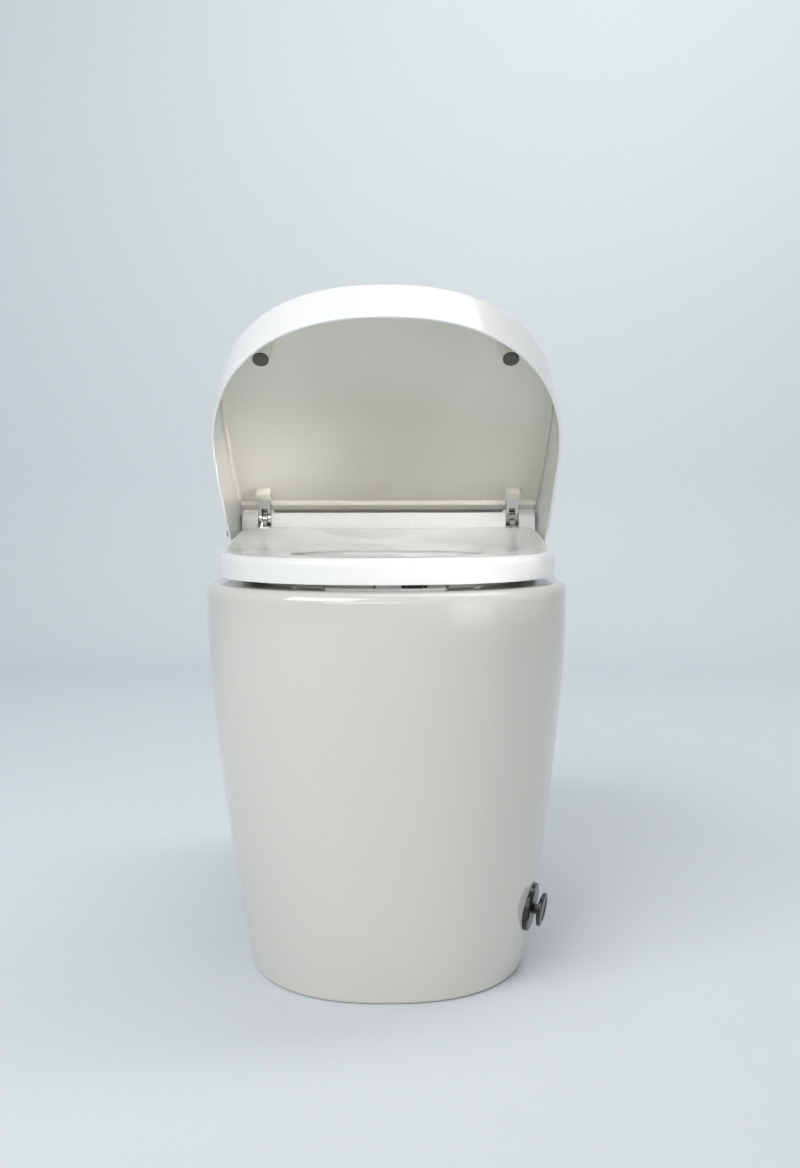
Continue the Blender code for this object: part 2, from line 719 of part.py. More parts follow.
def seat_angles(outer):
    """The seat's rings share one count of points; the outer ones crowd into its rear corners."""
    steps = 2 * (len(SEAT_REAR_SHARES) - 1)
    if outer:
        quarter = [math.asin(share ** (SEAT_REAR_POWER / 2)) for share in SEAT_REAR_SHARES]
        rear = quarter + [math.pi - angle for angle in reversed(quarter[:-1])]
    else:
        rear = [math.pi * spot / steps for spot in range(steps + 1)]
    front_steps = SEAT_SIDES - steps
    return rear + [math.pi + math.pi * spot / front_steps for spot in range(1, front_steps)]


def seat_outer(level, inset):
    rear = SEAT_REAR_Y - WIDEST_Y
    powers = (FRONT_POWER, SEAT_REAR_POWER)
    sizes = (SEAT_HALF_WIDTH, SEAT_FRONT_REACH, rear, WIDEST_Y)
    return egg(*sizes, level, inset, powers, seat_angles(True))


def seat_hole(level, grow):
    powers = (HOLE_POWER, HOLE_POWER)
    sizes = (HOLE_HALF_WIDTH, HOLE_FRONT_REACH, HOLE_REAR_REACH, HOLE_Y)
    return egg(*sizes, level, -grow, powers, seat_angles(False))


def seat_middle(under, skin):
    """A ring half-way between the seat's outer edge and its hole."""
    outer, inner = seat_outer(0.0, skin + SEAT_EDGE), seat_hole(0.0, skin + HOLE_ROLL)
    ring = []
    for first, second in zip(outer, inner):
        x, y = (first[0] + second[0]) / 2, (first[1] + second[1]) / 2
        ring.append((x, y, under(0.0)(x, y)))
    return ring


def seat_ring(name, skin, bottom):
    """A hoop over the seat's section, inset by a skin."""
    edge = SEAT_EDGE

    def under(drop):
        return lambda x, y: seat_top_z(x, y) - skin - drop

    rings = [
        seat_outer(bottom, skin),
        seat_outer(under(edge), skin),
        seat_outer(under(edge * (1 - math.sqrt(0.5))), skin + edge * (1 - math.sqrt(0.5))),
        seat_outer(under(0.0), skin + edge),
        seat_middle(under, skin),
        seat_hole(under(0.0), skin + HOLE_ROLL),
        seat_hole(under(HOLE_ROLL * (1 - math.sqrt(0.5)) / 2), skin + HOLE_ROLL * (1 - math.sqrt(0.5))),
        seat_hole(under(HOLE_ROLL / 2), skin),
        seat_hole(bottom, skin),
    ]
    return loft(name, rings, hoop=True)


def strap_pocket(side):
    half = FORK_WIDTH / 2 + CLEAR
    low_y, high_y = HINGE_Y - SEAT_LEG_FRONT - CLEAR, SEAT_REAR_Y + OVERRUN
    low_z = HINGE_Z - SEAT_LEG_DEPTH - CLEAR
    low = (side * HINGE_X - half, low_y, low_z)
    return block("pocket", low, (side * HINGE_X + half, high_y, HINGE_Z + OVERRUN))


def seat(holder):
    top = seat_ring("seat", 0.0, SEAT_BOTTOM)
    recess = seat_ring("recess", SEAT_SKIN, SEAT_BOTTOM - OVERRUN)
    floor = HINGE_Z - SEAT_LEG_DEPTH - SEAT_SKIN
    half = FORK_WIDTH / 2 + SEAT_SKIN
    front = HINGE_Y - SEAT_LEG_FRONT - SEAT_SKIN
    for side in (-1, 1):
        low = (side * HINGE_X - half, front, floor)
        carve(recess, block("pad", low, (side * HINGE_X + half, BACK_Y, HINGE_Z)))
    carve(top, recess, strap_pocket(-1), strap_pocket(1))
    finish(top, "seat_top_shell", "white_plastic", holder)
    rings = [
        seat_outer(SEAT_BOTTOM, SEAT_SKIN + CLEAR),
        seat_outer(SEAT_BOTTOM + BASE_THICK, SEAT_SKIN + CLEAR),
        seat_hole(SEAT_BOTTOM + BASE_THICK, SEAT_SKIN + CLEAR),
        seat_hole(SEAT_BOTTOM, SEAT_SKIN + CLEAR),
    ]
    finish(loft("base", rings, hoop=True), "seat_base", "white_plastic", holder)
    seat_heater(holder)
    buffers(holder)


def seat_heater(holder):
    """A film under the level part of the seat, open at the back like a horseshoe."""
    high = SEAT_TOP - SEAT_SKIN - CLEAR
    low = high - HEATER_THICK
    outer_inset = SEAT_SKIN + SEAT_EDGE + CLEAR
    hole_grow = SEAT_SKIN + HOLE_ROLL + CLEAR
    rings = [seat_outer(low, outer_inset), seat_outer(high, outer_inset)]
    rings += [seat_hole(high, hole_grow), seat_hole(low, hole_grow)]
    wide = BODY_HALF_WIDTH
    cut = block("cut", (-wide, SEAT_RISE_Y, SEAT_BOTTOM), (wide, BACK_Y, HINGE_Z))
    heater = carve(loft("heater", rings, hoop=True), cut)
    finish(heater, "seat_heater", "foil", holder)


def buffers(holder):
    """Four soft feet under the seat base that stand on the rim."""
    low, high = RIM_HEIGHT + CLEAR, SEAT_BOTTOM - CLEAR
    for degrees, end in BUFFER_DEGREES:
        for side, word in SIDES:
            turn = math.radians(degrees)
            half_width = SEAT_HALF_WIDTH - BUFFER_INSET
            reach = SEAT_FRONT_REACH if degrees < 0 else SEAT_REAR_Y - WIDEST_Y
            power = FRONT_POWER if degrees < 0 else SEAT_REAR_POWER
            across = math.cos(turn) ** (2 / power) * half_width
            along = math.copysign(abs(math.sin(turn)) ** (2 / power), turn) * (reach - BUFFER_INSET)
            middle = Vector((side * across, WIDEST_Y + along, 0.0))
            slope_x = abs(across / half_width) ** (power - 1) / half_width
            slope_y = abs(along / (reach - BUFFER_INSET)) ** (power - 1) / (reach - BUFFER_INSET)
            outward = Vector((side * slope_x, math.copysign(slope_y, along), 0.0)).normalized()
            beside = Vector((-outward.y, outward.x, 0.0))
            along_edge = BUFFER_LENGTH / 2 * beside
            across_edge = BUFFER_WIDTH / 2 * outward
            corners = ((-1, -1), (1, -1), (1, 1), (-1, 1))
            ring = [middle + along_edge * a + across_edge * b for a, b in corners]
            rings = [[point + Vector((0.0, 0.0, level)) for point in ring] for level in (low, high)]
            name = "seat_buffer_" + end + "_" + word
            finish(loft("buffer", rings), name, "white_rubber", holder)


def fork_x(side, index):
    """Where each knuckle of a hinge begins and ends: cheek, middle, cheek."""
    inner = HINGE_X - FORK_WIDTH / 2
    middle = FORK_WIDTH - 2 * FORK_CHEEK - 2 * KNUCKLE_GAP
    starts = (inner, inner + FORK_CHEEK + KNUCKLE_GAP, inner + FORK_CHEEK + 2 * KNUCKLE_GAP + middle)
    widths = (FORK_CHEEK, middle, FORK_CHEEK)
    begin, end = starts[index], starts[index] + widths[index]
    return side * begin, side * end


def bore_tool(side):
    start = (side * (HINGE_X - FORK_WIDTH), HINGE_Y, HINGE_Z)
    end = (side * (HINGE_X + FORK_WIDTH), HINGE_Y, HINGE_Z)
    return barrel("bore", PIN_RADIUS + CLEAR, start, end)


def lid_strap(side, holder):
    """A fork round the seat strap's knuckle, with one arm to the boss in the lid."""
    slope = lid_slope()
    high = HINGE_TOP - PANEL_DROP - CLEAR
    low = high - STRAP_THICK
    drop = STRAP_REACH * slope
    cheek = arc(KNUCKLE_RADIUS, -170.0, 60.0, 10)
    outline = cheek + [
        (-KNUCKLE_RADIUS / 2, high - KNUCKLE_RADIUS * slope),
        (-STRAP_REACH, high - drop),
        (-STRAP_REACH, low - drop),
        (-KNUCKLE_RADIUS * 2, low - KNUCKLE_RADIUS),
    ]
    world = [hinge_point(along, up) for along, up in outline]
    inner = HINGE_X - FORK_WIDTH / 2
    strap = prism("strap", world, "X", side * inner, side * (inner + FORK_WIDTH))
    begin, end = fork_x(side, 1)
    gap = KNUCKLE_GAP * side
    room = KNUCKLE_RADIUS + KNUCKLE_GAP
    slot_outline = [(-STRAP_REACH / 2, -room)] + arc(room, -90.0, 90.0, 7) + [(-STRAP_REACH / 2, room)]
    slot = [hinge_point(along, up) for along, up in slot_outline]
    carve(strap, prism("slot", slot, "X", begin - gap, end + gap), bore_tool(side))
    return strap


def seat_foot_outline(leg):
    """The lower part of a seat strap's leg, which is as wide as the fork above it."""
    (front, shoulder), (_, sole), (heel, _) = leg[-3:]
    last, first = leg[-4], leg[0]
    level = -SEAT_FOOT_TOP
    ahead = front + (last[0] - front) * (level - shoulder) / (last[1] - shoulder)
    behind = heel + (first[0] - heel) * (level - sole) / (first[1] - sole)
    outline = [(front, shoulder), (front, sole), (heel, sole), (behind, level), (ahead, level)]
    return [hinge_point(along, up) for along, up in outline]


def hinges(shaft, lid, seat_holder):
    for side, word in SIDES:
        finish(lid_strap(side, lid), "lid_strap_" + word, "chrome", lid)
        begin, end = fork_x(side, 1)
        leg = arc(KNUCKLE_RADIUS, -60.0, 190.0, 10) + [
            (-SEAT_LEG_FRONT, -SEAT_LEG_DEPTH + SEAT_LEG_RISE),
            (-SEAT_LEG_FRONT, -SEAT_LEG_DEPTH),
            (-SEAT_LEG_REAR, -SEAT_LEG_DEPTH),
        ]
        world = [hinge_point(along, up) for along, up in leg]
        strap = carve(prism("strap", world, "X", begin, end), bore_tool(side))
        inner = HINGE_X - FORK_WIDTH / 2
        foot = prism("foot", seat_foot_outline(leg), "X", side * inner, side * (inner + FORK_WIDTH))
        finish(weld(strap, foot), "seat_strap_" + word, "chrome", seat_holder)
        pin_start = (side * (inner - KNUCKLE_GAP), HINGE_Y, HINGE_Z)
        pin_end = (side * (block_x(1) - KNUCKLE_GAP), HINGE_Y, HINGE_Z)
        finish(barrel("pin", PIN_RADIUS, pin_start, pin_end), "hinge_pin_" + word, "steel", shaft)
        pulley = pulley_solid(side, (HINGE_Y, HINGE_Z), PIN_RADIUS + CLEAR)
        finish(pulley, "hinge_pulley_" + word, "grey_plastic", shaft)


def block_x(index):
    """The inner and outer sides of a hinge block: a skin, the pulley's room and the damper."""
    begin = HINGE_X + FORK_WIDTH / 2 + 2 * KNUCKLE_GAP
    length = BLOCK_SKIN + 2 * KNUCKLE_GAP + PULLEY_WIDTH + DAMPER_LENGTH
    return (begin, begin + length)[index]


def pulley_x():
    begin = block_x(0) + BLOCK_SKIN + KNUCKLE_GAP
    return begin, begin + PULLEY_WIDTH


def belt_loop(side, radius, grow):
    """A solid with the outline of a belt round both of its pulleys."""
    begin, end = pulley_x()
    lean = math.degrees(math.atan2(-MOTOR_DROP, MOTOR_BACK))
    outline = arc(radius, lean + 90, lean + 270, 12, (HINGE_Y, HINGE_Z))
    outline += arc(radius, lean - 90, lean + 90, 12, hinge_point(MOTOR_BACK, -MOTOR_DROP))
    return prism("loop", outline, "X", side * (begin - grow), side * (end + grow))


def pulley_solid(side, centre, bore):
    begin, end = pulley_x()
    start, stop = (side * begin, *centre), (side * end, *centre)
    pulley = barrel("pulley", PULLEY_RADIUS, start, stop, BARREL_SIDES * 2)
    if bore:
        carve(pulley, barrel("bore", bore, (0.0, *centre), (2 * side * end, *centre)))
    return pulley


def drives(motors):
    """Motor, driven pulley and belt on each side; both turn the hinge pins."""
    for side, word, role in ((-1, "left", "seat"), (1, "right", "lid")):
        centre = hinge_point(MOTOR_BACK, -MOTOR_DROP)
        begin, end = pulley_x()
        face = begin - 2 * KNUCKLE_GAP - CLEAR
        back_end, front_end = (side * (face - MOTOR_LENGTH), *centre), (side * face, *centre)
        motor = barrel("motor", MOTOR_RADIUS, back_end, front_end)
        shaft_start = (side * (face - MOTOR_LENGTH / 2), *centre)
        carve(motor, barrel("bore", MOTOR_SHAFT + CLEAR, shaft_start, (side * end, *centre)))
        finish(motor, role + "_drive_motor", "grey_plastic")
        pulley = pulley_solid(side, centre, 0.0)
        inner = (side * (face - MOTOR_LENGTH / 2 + KNUCKLE_GAP), *centre)
        weld(pulley, barrel("shaft", MOTOR_SHAFT, inner, (side * (begin + end) / 2, *centre)))
        finish(pulley, role + "_motor_pulley", "steel", motors[side])
        inside = PULLEY_RADIUS + CLEAR
        belt = carve(belt_loop(side, inside + BELT_THICK, 0.0), belt_loop(side, inside, OVERRUN))
        finish(belt, role + "_drive_belt", "grey_rubber")


def sweep_outline(grow):
    """The space that the lid's tail and its turned-back panel pass through."""
    front = FASCIA_FRONT - FASCIA_THICK - grow
    radius = HINGE_TOP + TAIL_CLEAR + grow
    top = HINGE_TOP * 2
    lean = SWEEP_LEAN + grow
    bottom_degrees = math.degrees(math.acos(front / radius)) - 180
    outline = [(-front, top), (-front, 0.0)]
    outline += arc(radius, bottom_degrees, 0.0, 9)
    outline += [(radius + lean, HINGE_TOP), (radius + lean, top)]
    return [hinge_point(along, up) for along, up in outline]


def cover_region(name, grow):
    """What the rear cover leaves free: the lid in front, its sweep, the hinges and the ears."""
    wide = BODY_HALF_WIDTH + OVERRUN
    low, high = -OVERRUN, HINGE_Z + HINGE_TOP * 2
    front_y = WIDEST_Y - BODY_FRONT_REACH - OVERRUN
    fascia_y = HINGE_Y - FASCIA_FRONT
    tools = [block(name, (-wide, front_y, low), (wide, fascia_y + grow, high))]
    tools.append(prism(name, sweep_outline(grow), "X", -wide, wide))
    lip = block(name, (-wide, front_y, HINGE_Z + FASCIA_RISE - grow), (wide, HINGE_Y, high))
    tools.append(lip)
    for side in (-1, 1):
        near = HINGE_X - FORK_WIDTH / 2 - 2 * KNUCKLE_GAP - grow
        xs = sorted((side * near, side * wide))
        back = HINGE_Y + EAR_REACH + 2 * KNUCKLE_GAP + grow
        tools.append(block(name, (xs[0], front_y, low), (xs[1], back, high)))
    return tools


def belt_rooms():
    """The windows in the rear cover's front that the belts run through."""
    rooms = []
    low_z = RIM_HEIGHT + CLEAR + PLATE_THICK
    near = HINGE_X - FORK_WIDTH / 2 - 2 * KNUCKLE_GAP
    for side, word in SIDES:
        xs = sorted((side * near, side * (block_x(1) + KNUCKLE_GAP)))
        rooms.append(block("room", (xs[0], HINGE_Y, low_z), (xs[1], HINGE_Y + MOTOR_BACK, HINGE_Z)))
    return rooms


def plate_rooms():
    """Where the cover's inner walls stop above the chassis plate."""
    rooms = []
    high_z = RIM_HEIGHT + 2 * CLEAR + PLATE_THICK
    near = HINGE_X - FORK_WIDTH / 2 - 2 * KNUCKLE_GAP - FASCIA_THICK
    back = HINGE_Y + EAR_REACH + 2 * KNUCKLE_GAP + FASCIA_THICK
    for side, word in SIDES:
        xs = sorted((side * near, side * (block_x(1) + 2 * CLEAR)))
        front = HINGE_Y - FASCIA_FRONT + FASCIA_THICK
        rooms.append(block("room", (xs[0], front, RIM_HEIGHT - OVERRUN), (xs[1], back, high_z)))
    return rooms


def rear_cover():
    top = HINGE_Z + HINGE_TOP
    bottom = RIM_HEIGHT + CLEAR
    cover = crown("cover", top, top, COVER_EDGE, 0.0, bottom)
    carve(cover, *cover_region("region", 0.0))
    room = crown("room", top, top, COVER_EDGE, CROWN_WALL, bottom - OVERRUN)
    carve(room, *cover_region("region", FASCIA_THICK - CLEAR))
    carve(cover, room)
    wand_high = (-WAND_SLOT_LEFT, HINGE_Y, wand_top(HINGE_Y))
    wand = block("wand", (WAND_SLOT_LEFT, 0.0, RIM_HEIGHT), wand_high)
    carve(cover, wand, *belt_rooms(), *plate_rooms())
    side_x = -(crown_half_width(KNOB_Y) - CROWN_DRAFT)
    start = (side_x + OVERRUN, KNOB_Y, KNOB_Z)
    end = (side_x - OVERRUN, KNOB_Y, KNOB_Z)
    carve(cover, barrel("knob_hole", KNOB_STEM_RADIUS + CLEAR, start, end))
    finish(cover, "rear_cover", "white_plastic")


def crown_half_width(y):
    share = (y - WIDEST_Y) / CROWN_REAR_REACH
    return CROWN_HALF_WIDTH * (1 - share ** REAR_POWER) ** (1 / REAR_POWER)


def wand_top(y):
    turn = math.radians(WAND_DEGREES)
    return WAND_Z + (y - WAND_Y) * math.tan(turn) + (GUIDE_HALF_HEIGHT + CLEAR) / math.cos(turn)


def chassis():
    """The tray under the rear cover: a plate on the deck and a tub down in the well."""
    low, high = RIM_HEIGHT + CLEAR, RIM_HEIGHT + CLEAR + PLATE_THICK
    inset = CROWN_WALL + CLEAR + CROWN_DRAFT / 2
    sizes = (CROWN_HALF_WIDTH, CROWN_FRONT_REACH, CROWN_REAR_REACH, WIDEST_Y)
    plate = loft("plate", [egg(*sizes, low, inset), egg(*sizes, high, inset)])
    wide = BODY_HALF_WIDTH + OVERRUN
    front_y = WIDEST_Y - BODY_FRONT_REACH - OVERRUN
    fascia_y = HINGE_Y - FASCIA_FRONT + FASCIA_THICK + CLEAR
    tools = [block("cut", (-wide, front_y, -OVERRUN), (wide, fascia_y, HINGE_Z))]
    for side in (-1, 1):
        xs = sorted((side * (block_x(1) + CLEAR), side * wide))
        back = HINGE_Y + EAR_REACH + 2 * KNUCKLE_GAP + FASCIA_THICK
        tools.append(block("cut", (xs[0], front_y, -OVERRUN), (xs[1], back, HINGE_Z)))
    carve(plate, *tools)
    gap = 2 * CLEAR
    tub_low = (-WELL_HALF_WIDTH + gap, WELL_FRONT_Y + gap, TUB_FLOOR)
    tub_high = (WELL_HALF_WIDTH - gap, WELL_REAR_Y - gap, (low + high) / 2)
    weld(plate, block("tub", tub_low, tub_high))
    room_low = [value + TUB_WALL for value in tub_low]
    room_high = (tub_high[0] - TUB_WALL, tub_high[1] - TUB_WALL, high + OVERRUN)
    carve(plate, block("room", room_low, room_high))
    for side in (-1, 1):
        centre = hinge_point(MOTOR_BACK, -MOTOR_DROP)
        face = pulley_x()[0] - 2 * KNUCKLE_GAP - CLEAR
        xs = sorted((side * (face - CRADLE_LENGTH), side * face))
        half = MOTOR_RADIUS / 2
        top = centre[1] - MOTOR_RADIUS / 2
        cradle = block("cradle", (xs[0], centre[0] - half, (low + high) / 2), (xs[1], centre[0] + half, top))
        bed = barrel("bed", MOTOR_RADIUS + CLEAR, (0.0, *centre), (2 * side * face, *centre))
        weld(plate, carve(cradle, bed))
    for y, left in zip(SHELF_Y, (WAND_SLOT_LEFT, WELL_HALF_WIDTH - gap)):
        weld(plate, block("shelf", (tub_low[0], y, low), (left, y + SHELF_DEPTH, high)))
    back = WELL_FRONT_Y + TUB_WALL * 2
    slot_high = (WAND_SLOT_RIGHT, back, high + OVERRUN)
    slot = block("slot", (WAND_SLOT_LEFT, 0.0, low - OVERRUN), slot_high)
    mouth_low = (WAND_SLOT_LEFT, WELL_FRONT_Y - OVERRUN, WAND_Z - GUIDE_HALF_HEIGHT - CLEAR)
    mouth = block("mouth", mouth_low, slot_high)
    carve(plate, slot, mouth)
    for x, y in ((NIPPLE_X, NIPPLE_Y), (GLAND_X, GLAND_Y)):
        start, end = (x, y, TUB_FLOOR - OVERRUN), (x, y, TUB_FLOOR + OVERRUN)
        carve(plate, barrel("hole", NIPPLE_RADIUS + CLEAR, start, end))
    finish(plate, "chassis_tray", "grey_plastic")


def hinge_blocks():
    """The white blocks outside the straps, each with its damper round the pin."""
    for side, word in SIDES:
        xs = sorted((side * block_x(0), side * block_x(1)))
        low_z = RIM_HEIGHT + 2 * CLEAR + PLATE_THICK
        half = BLOCK_DEPTH / 2
        front = FASCIA_FRONT - FASCIA_THICK - CLEAR
        foot = low_z - HINGE_Z
        outline = [(-half, foot + OVERRUN), (-front, foot + OVERRUN), (-front, foot)]
        outline += [(half, foot), (half, 0.0)]
        outline += arc(BLOCK_RISE, 20.0, 160.0, 8) + [(-half, 0.0)]
        world = [hinge_point(along, up) for along, up in outline]
        post = prism("post", world, "X", xs[0], xs[1])
        start, end = (xs[0] - OVERRUN, HINGE_Y, HINGE_Z), (xs[1] + OVERRUN, HINGE_Y, HINGE_Z)
        begin, inner, outer = sum(pulley_x()) / 2, pulley_x()[1] + KNUCKLE_GAP, block_x(1)
        far = outer + OVERRUN
        room_ends = (side * begin, HINGE_Y, HINGE_Z), (side * far, HINGE_Y, HINGE_Z)
        room = barrel("room", DAMPER_RADIUS + CLEAR, *room_ends)
        belt_room = belt_loop(side, PULLEY_RADIUS + BELT_THICK + 2 * CLEAR, KNUCKLE_GAP)
        pin_way = barrel("pin_way", PIN_RADIUS + CLEAR, start, end)
        finish(carve(post, room, belt_room, pin_way), "hinge_block_" + word, "white_plastic")
        ends = (side * inner, HINGE_Y, HINGE_Z), (side * outer, HINGE_Y, HINGE_Z)
        damper = barrel("damper", DAMPER_RADIUS, *ends)
        bore = barrel("bore", PIN_RADIUS + CLEAR, start, end)
        finish(carve(damper, bore), "hinge_damper_" + word, "grey_plastic")


def wand_place(along, up, x=0.0, degrees=WAND_DEGREES):
    """A point by its distance up a slope from the wand's mouth and above it."""
    turn = math.radians(degrees)
    y = WAND_Y + along * math.cos(turn) - up * math.sin(turn)
    z = WAND_Z + along * math.sin(turn) + up * math.cos(turn)
    return Vector((x, y, z))


def sloped_block(name, span, x_span, up_span, degrees=WAND_DEGREES):
    corners = [(span[0], up_span[0]), (span[1], up_span[0]), (span[1], up_span[1]), (span[0], up_span[1])]
    places = [wand_place(along, up, 0.0, degrees) for along, up in corners]
    return prism(name, [(point.y, point.z) for point in places], "X", *x_span)


def wash_wand(slide, roller_holder):
    x_span = (-GUIDE_HALF_WIDTH, GUIDE_HALF_WIDTH)
    up_span = (-GUIDE_HALF_HEIGHT, GUIDE_HALF_HEIGHT)
    guide = sloped_block("guide", (0.0, GUIDE_LENGTH), x_span, up_span)
    ear_low = RIM_HEIGHT + 2 * CLEAR + PLATE_THICK
    ear_y = wand_place(GUIDE_EAR_S, 0.0).y
    low = (-GUIDE_EAR_HALF_WIDTH, ear_y - GUIDE_EAR_LENGTH, ear_low)
    high = (GUIDE_EAR_HALF_WIDTH, ear_y, ear_low + PLATE_THICK)
    weld(guide, block("ear", low, high))
    bore_end = wand_place(GUIDE_LENGTH + OVERRUN, 0.0)
    bore = barrel("bore", WAND_RADIUS + CLEAR, wand_place(-OVERRUN, 0.0), bore_end)
    roller_x = WAND_RADIUS + CLEAR + ROLLER_RADIUS
    half = ROLLER_HEIGHT / 2 + CLEAR
    pocket_end = wand_place(ROLLER_S, GUIDE_HALF_HEIGHT + OVERRUN, roller_x)
    pocket = barrel("pocket", ROLLER_RADIUS + CLEAR, wand_place(ROLLER_S, -half, roller_x), pocket_end)
    carve(guide, bore, pocket)
    finish(guide, "wand_guide", "grey_plastic")
    wand = barrel("wand", WAND_RADIUS, wand_place(-WAND_OUT, 0.0), wand_place(WAND_LENGTH - WAND_OUT, 0.0))
    finish(wand, "wash_wand", "white_plastic", slide)
    edge = -WAND_OUT - CLEAR
    shield = sloped_block("shield", (edge - SHIELD_THICK, edge), x_span, up_span)
    finish(shield, "wand_shield", "white_plastic", slide)
    start = wand_place(ROLLER_S, -half + CLEAR, roller_x)
    end = wand_place(ROLLER_S, half - CLEAR, roller_x)
    roller = barrel("roller", ROLLER_RADIUS, start, end)
    shaft_end = wand_place(ROLLER_S, GUIDE_HALF_HEIGHT + STEPPER_HEIGHT / 2, roller_x)
    weld(roller, barrel("shaft", MOTOR_SHAFT, wand_place(ROLLER_S, 0.0, roller_x), shaft_end))
    finish(roller, "wand_roller", "grey_rubber", roller_holder)
    base_up = GUIDE_HALF_HEIGHT + CLEAR
    base = wand_place(ROLLER_S, base_up, roller_x)
    stepper_end = wand_place(ROLLER_S, base_up + STEPPER_HEIGHT, roller_x)
    stepper = barrel("stepper", STEPPER_RADIUS, base, stepper_end)
    hole_end = wand_place(ROLLER_S, GUIDE_HALF_HEIGHT + STEPPER_HEIGHT / 2 + KNUCKLE_GAP, roller_x)
    carve(stepper, barrel("hole", MOTOR_SHAFT + CLEAR, wand_place(ROLLER_S, 0.0, roller_x), hole_end))
    finish(stepper, "wand_stepper", "steel")


def blade_star(radius, hub, blades):
    """An outline of straight blades round a hub."""
    outline = []
    pitch = 360.0 / blades
    for blade in range(blades):
        centre = blade * pitch
        tip, root = pitch * BLADE_TIP_SHARE, pitch * BLADE_ROOT_SHARE
        for offset, reach in ((-root, hub), (-tip, radius), (tip, radius), (root, hub)):
            turn = math.radians(centre + offset)
            outline.append((reach * math.cos(turn), reach * math.sin(turn)))
    return outline


def shift(outline, x, y):
    return [(a + x, b + y) for a, b in outline]


def dryer_scroll(floor):
    """The blower's casing with its duct, which slopes down beside the wand to the bowl."""
    low, high = (SCROLL_X, SCROLL_Y, floor), (SCROLL_X, SCROLL_Y, floor + SCROLL_HEIGHT)
    scroll = barrel("scroll", SCROLL_RADIUS, low, high, BARREL_SIDES * 2)
    up_span = (-DUCT_HALF_HEIGHT, DUCT_HALF_HEIGHT)
    duct = sloped_block("duct", (0.0, DUCT_LENGTH), DUCT_X, up_span, DUCT_DEGREES)
    link_low = (DUCT_X[0] + DUCT_WALL, LINK_Y[0], floor + LINK_LIFT)
    link_high = (SCROLL_X, LINK_Y[1], floor + LINK_LIFT + LINK_HEIGHT)
    weld(scroll, duct, block("link", link_low, link_high))
    wall = SCROLL_WALL
    low, high = (SCROLL_X, SCROLL_Y, floor + wall), (SCROLL_X, SCROLL_Y, floor + SCROLL_HEIGHT - wall)
    chamber = barrel("chamber", SCROLL_RADIUS - wall, low, high, BARREL_SIDES * 2)
    room_x = (DUCT_X[0] + DUCT_WALL, DUCT_X[1] - DUCT_WALL)
    room_up = (-DUCT_HALF_HEIGHT + DUCT_WALL, DUCT_HALF_HEIGHT - DUCT_WALL)
    passage = sloped_block("passage", (-OVERRUN, DUCT_LENGTH - DUCT_WALL), room_x, room_up, DUCT_DEGREES)
    room_low = (DUCT_X[0] + 2 * DUCT_WALL, LINK_Y[0] + DUCT_WALL, link_low[2] + DUCT_WALL)
    room_high = (SCROLL_X - SCROLL_RADIUS / 2, LINK_Y[1] - DUCT_WALL, link_high[2] - DUCT_WALL)
    hole = barrel("hole", PIN_RADIUS + CLEAR, low, (SCROLL_X, SCROLL_Y, floor + SCROLL_HEIGHT + OVERRUN))
    carve(scroll, chamber, passage, block("link_room", room_low, room_high), hole)
    finish(scroll, "dryer_scroll", "grey_plastic")


def dryer(holder):
    floor = RIM_HEIGHT + 2 * CLEAR + PLATE_THICK
    dryer_scroll(floor)
    begin = floor + SCROLL_WALL + IMPELLER_LIFT
    end = floor + SCROLL_HEIGHT - SCROLL_WALL - IMPELLER_LIFT
    outline = shift(blade_star(IMPELLER_RADIUS, IMPELLER_HUB, IMPELLER_BLADES), SCROLL_X, SCROLL_Y)
    impeller = prism("impeller", outline, "Z", begin, end)
    motor_low = floor + SCROLL_HEIGHT + CLEAR
    start = (SCROLL_X, SCROLL_Y, floor + SCROLL_WALL + CLEAR)
    end = (SCROLL_X, SCROLL_Y, motor_low + AIR_MOTOR_HEIGHT / 2)
    weld(impeller, barrel("shaft", PIN_RADIUS, start, end))
    finish(impeller, "dryer_impeller", "black_plastic", holder)
    base, top = (SCROLL_X, SCROLL_Y, motor_low), (SCROLL_X, SCROLL_Y, motor_low + AIR_MOTOR_HEIGHT)
    motor = barrel("motor", AIR_MOTOR_RADIUS, base, top)
    hole_top = (SCROLL_X, SCROLL_Y, motor_low + AIR_MOTOR_HEIGHT / 2 + KNUCKLE_GAP)
    hole_low = (SCROLL_X, SCROLL_Y, motor_low - OVERRUN)
    carve(motor, barrel("hole", PIN_RADIUS + CLEAR, hole_low, hole_top))
    finish(motor, "dryer_motor", "steel")


def deodoriser(holder):
    floor = RIM_HEIGHT + 2 * CLEAR + PLATE_THICK
    half = ODOUR_SIZE / 2
    top = floor + ODOUR_HEIGHT
    frame = block("frame", (ODOUR_X - half, ODOUR_Y - half, floor), (ODOUR_X + half, ODOUR_Y + half, top))
    web = ODOUR_HEIGHT / 6
    bore_low = (ODOUR_X, ODOUR_Y, floor + web)
    carve(frame, barrel("bore", ODOUR_BORE, bore_low, (ODOUR_X, ODOUR_Y, top + OVERRUN), BARREL_SIDES * 2))
    axle_low = (ODOUR_X, ODOUR_Y, floor + web / 2)
    axle = barrel("axle", PIN_RADIUS, axle_low, (ODOUR_X, ODOUR_Y, floor + ODOUR_HEIGHT / 2))
    finish(weld(frame, axle), "deodoriser_frame", "black_plastic")
    reach = ODOUR_BORE - 2 * KNUCKLE_GAP
    outline = shift(blade_star(reach, IMPELLER_HUB, ODOUR_BLADES), ODOUR_X, ODOUR_Y)
    fan = prism("fan", outline, "Z", floor + web + CLEAR, floor + ODOUR_HEIGHT - web)
    hole_end = (ODOUR_X, ODOUR_Y, floor + ODOUR_HEIGHT / 2 + KNUCKLE_GAP)
    carve(fan, barrel("hole", PIN_RADIUS + CLEAR, (ODOUR_X, ODOUR_Y, floor), hole_end))
    finish(fan, "deodoriser_fan", "grey_plastic", holder)


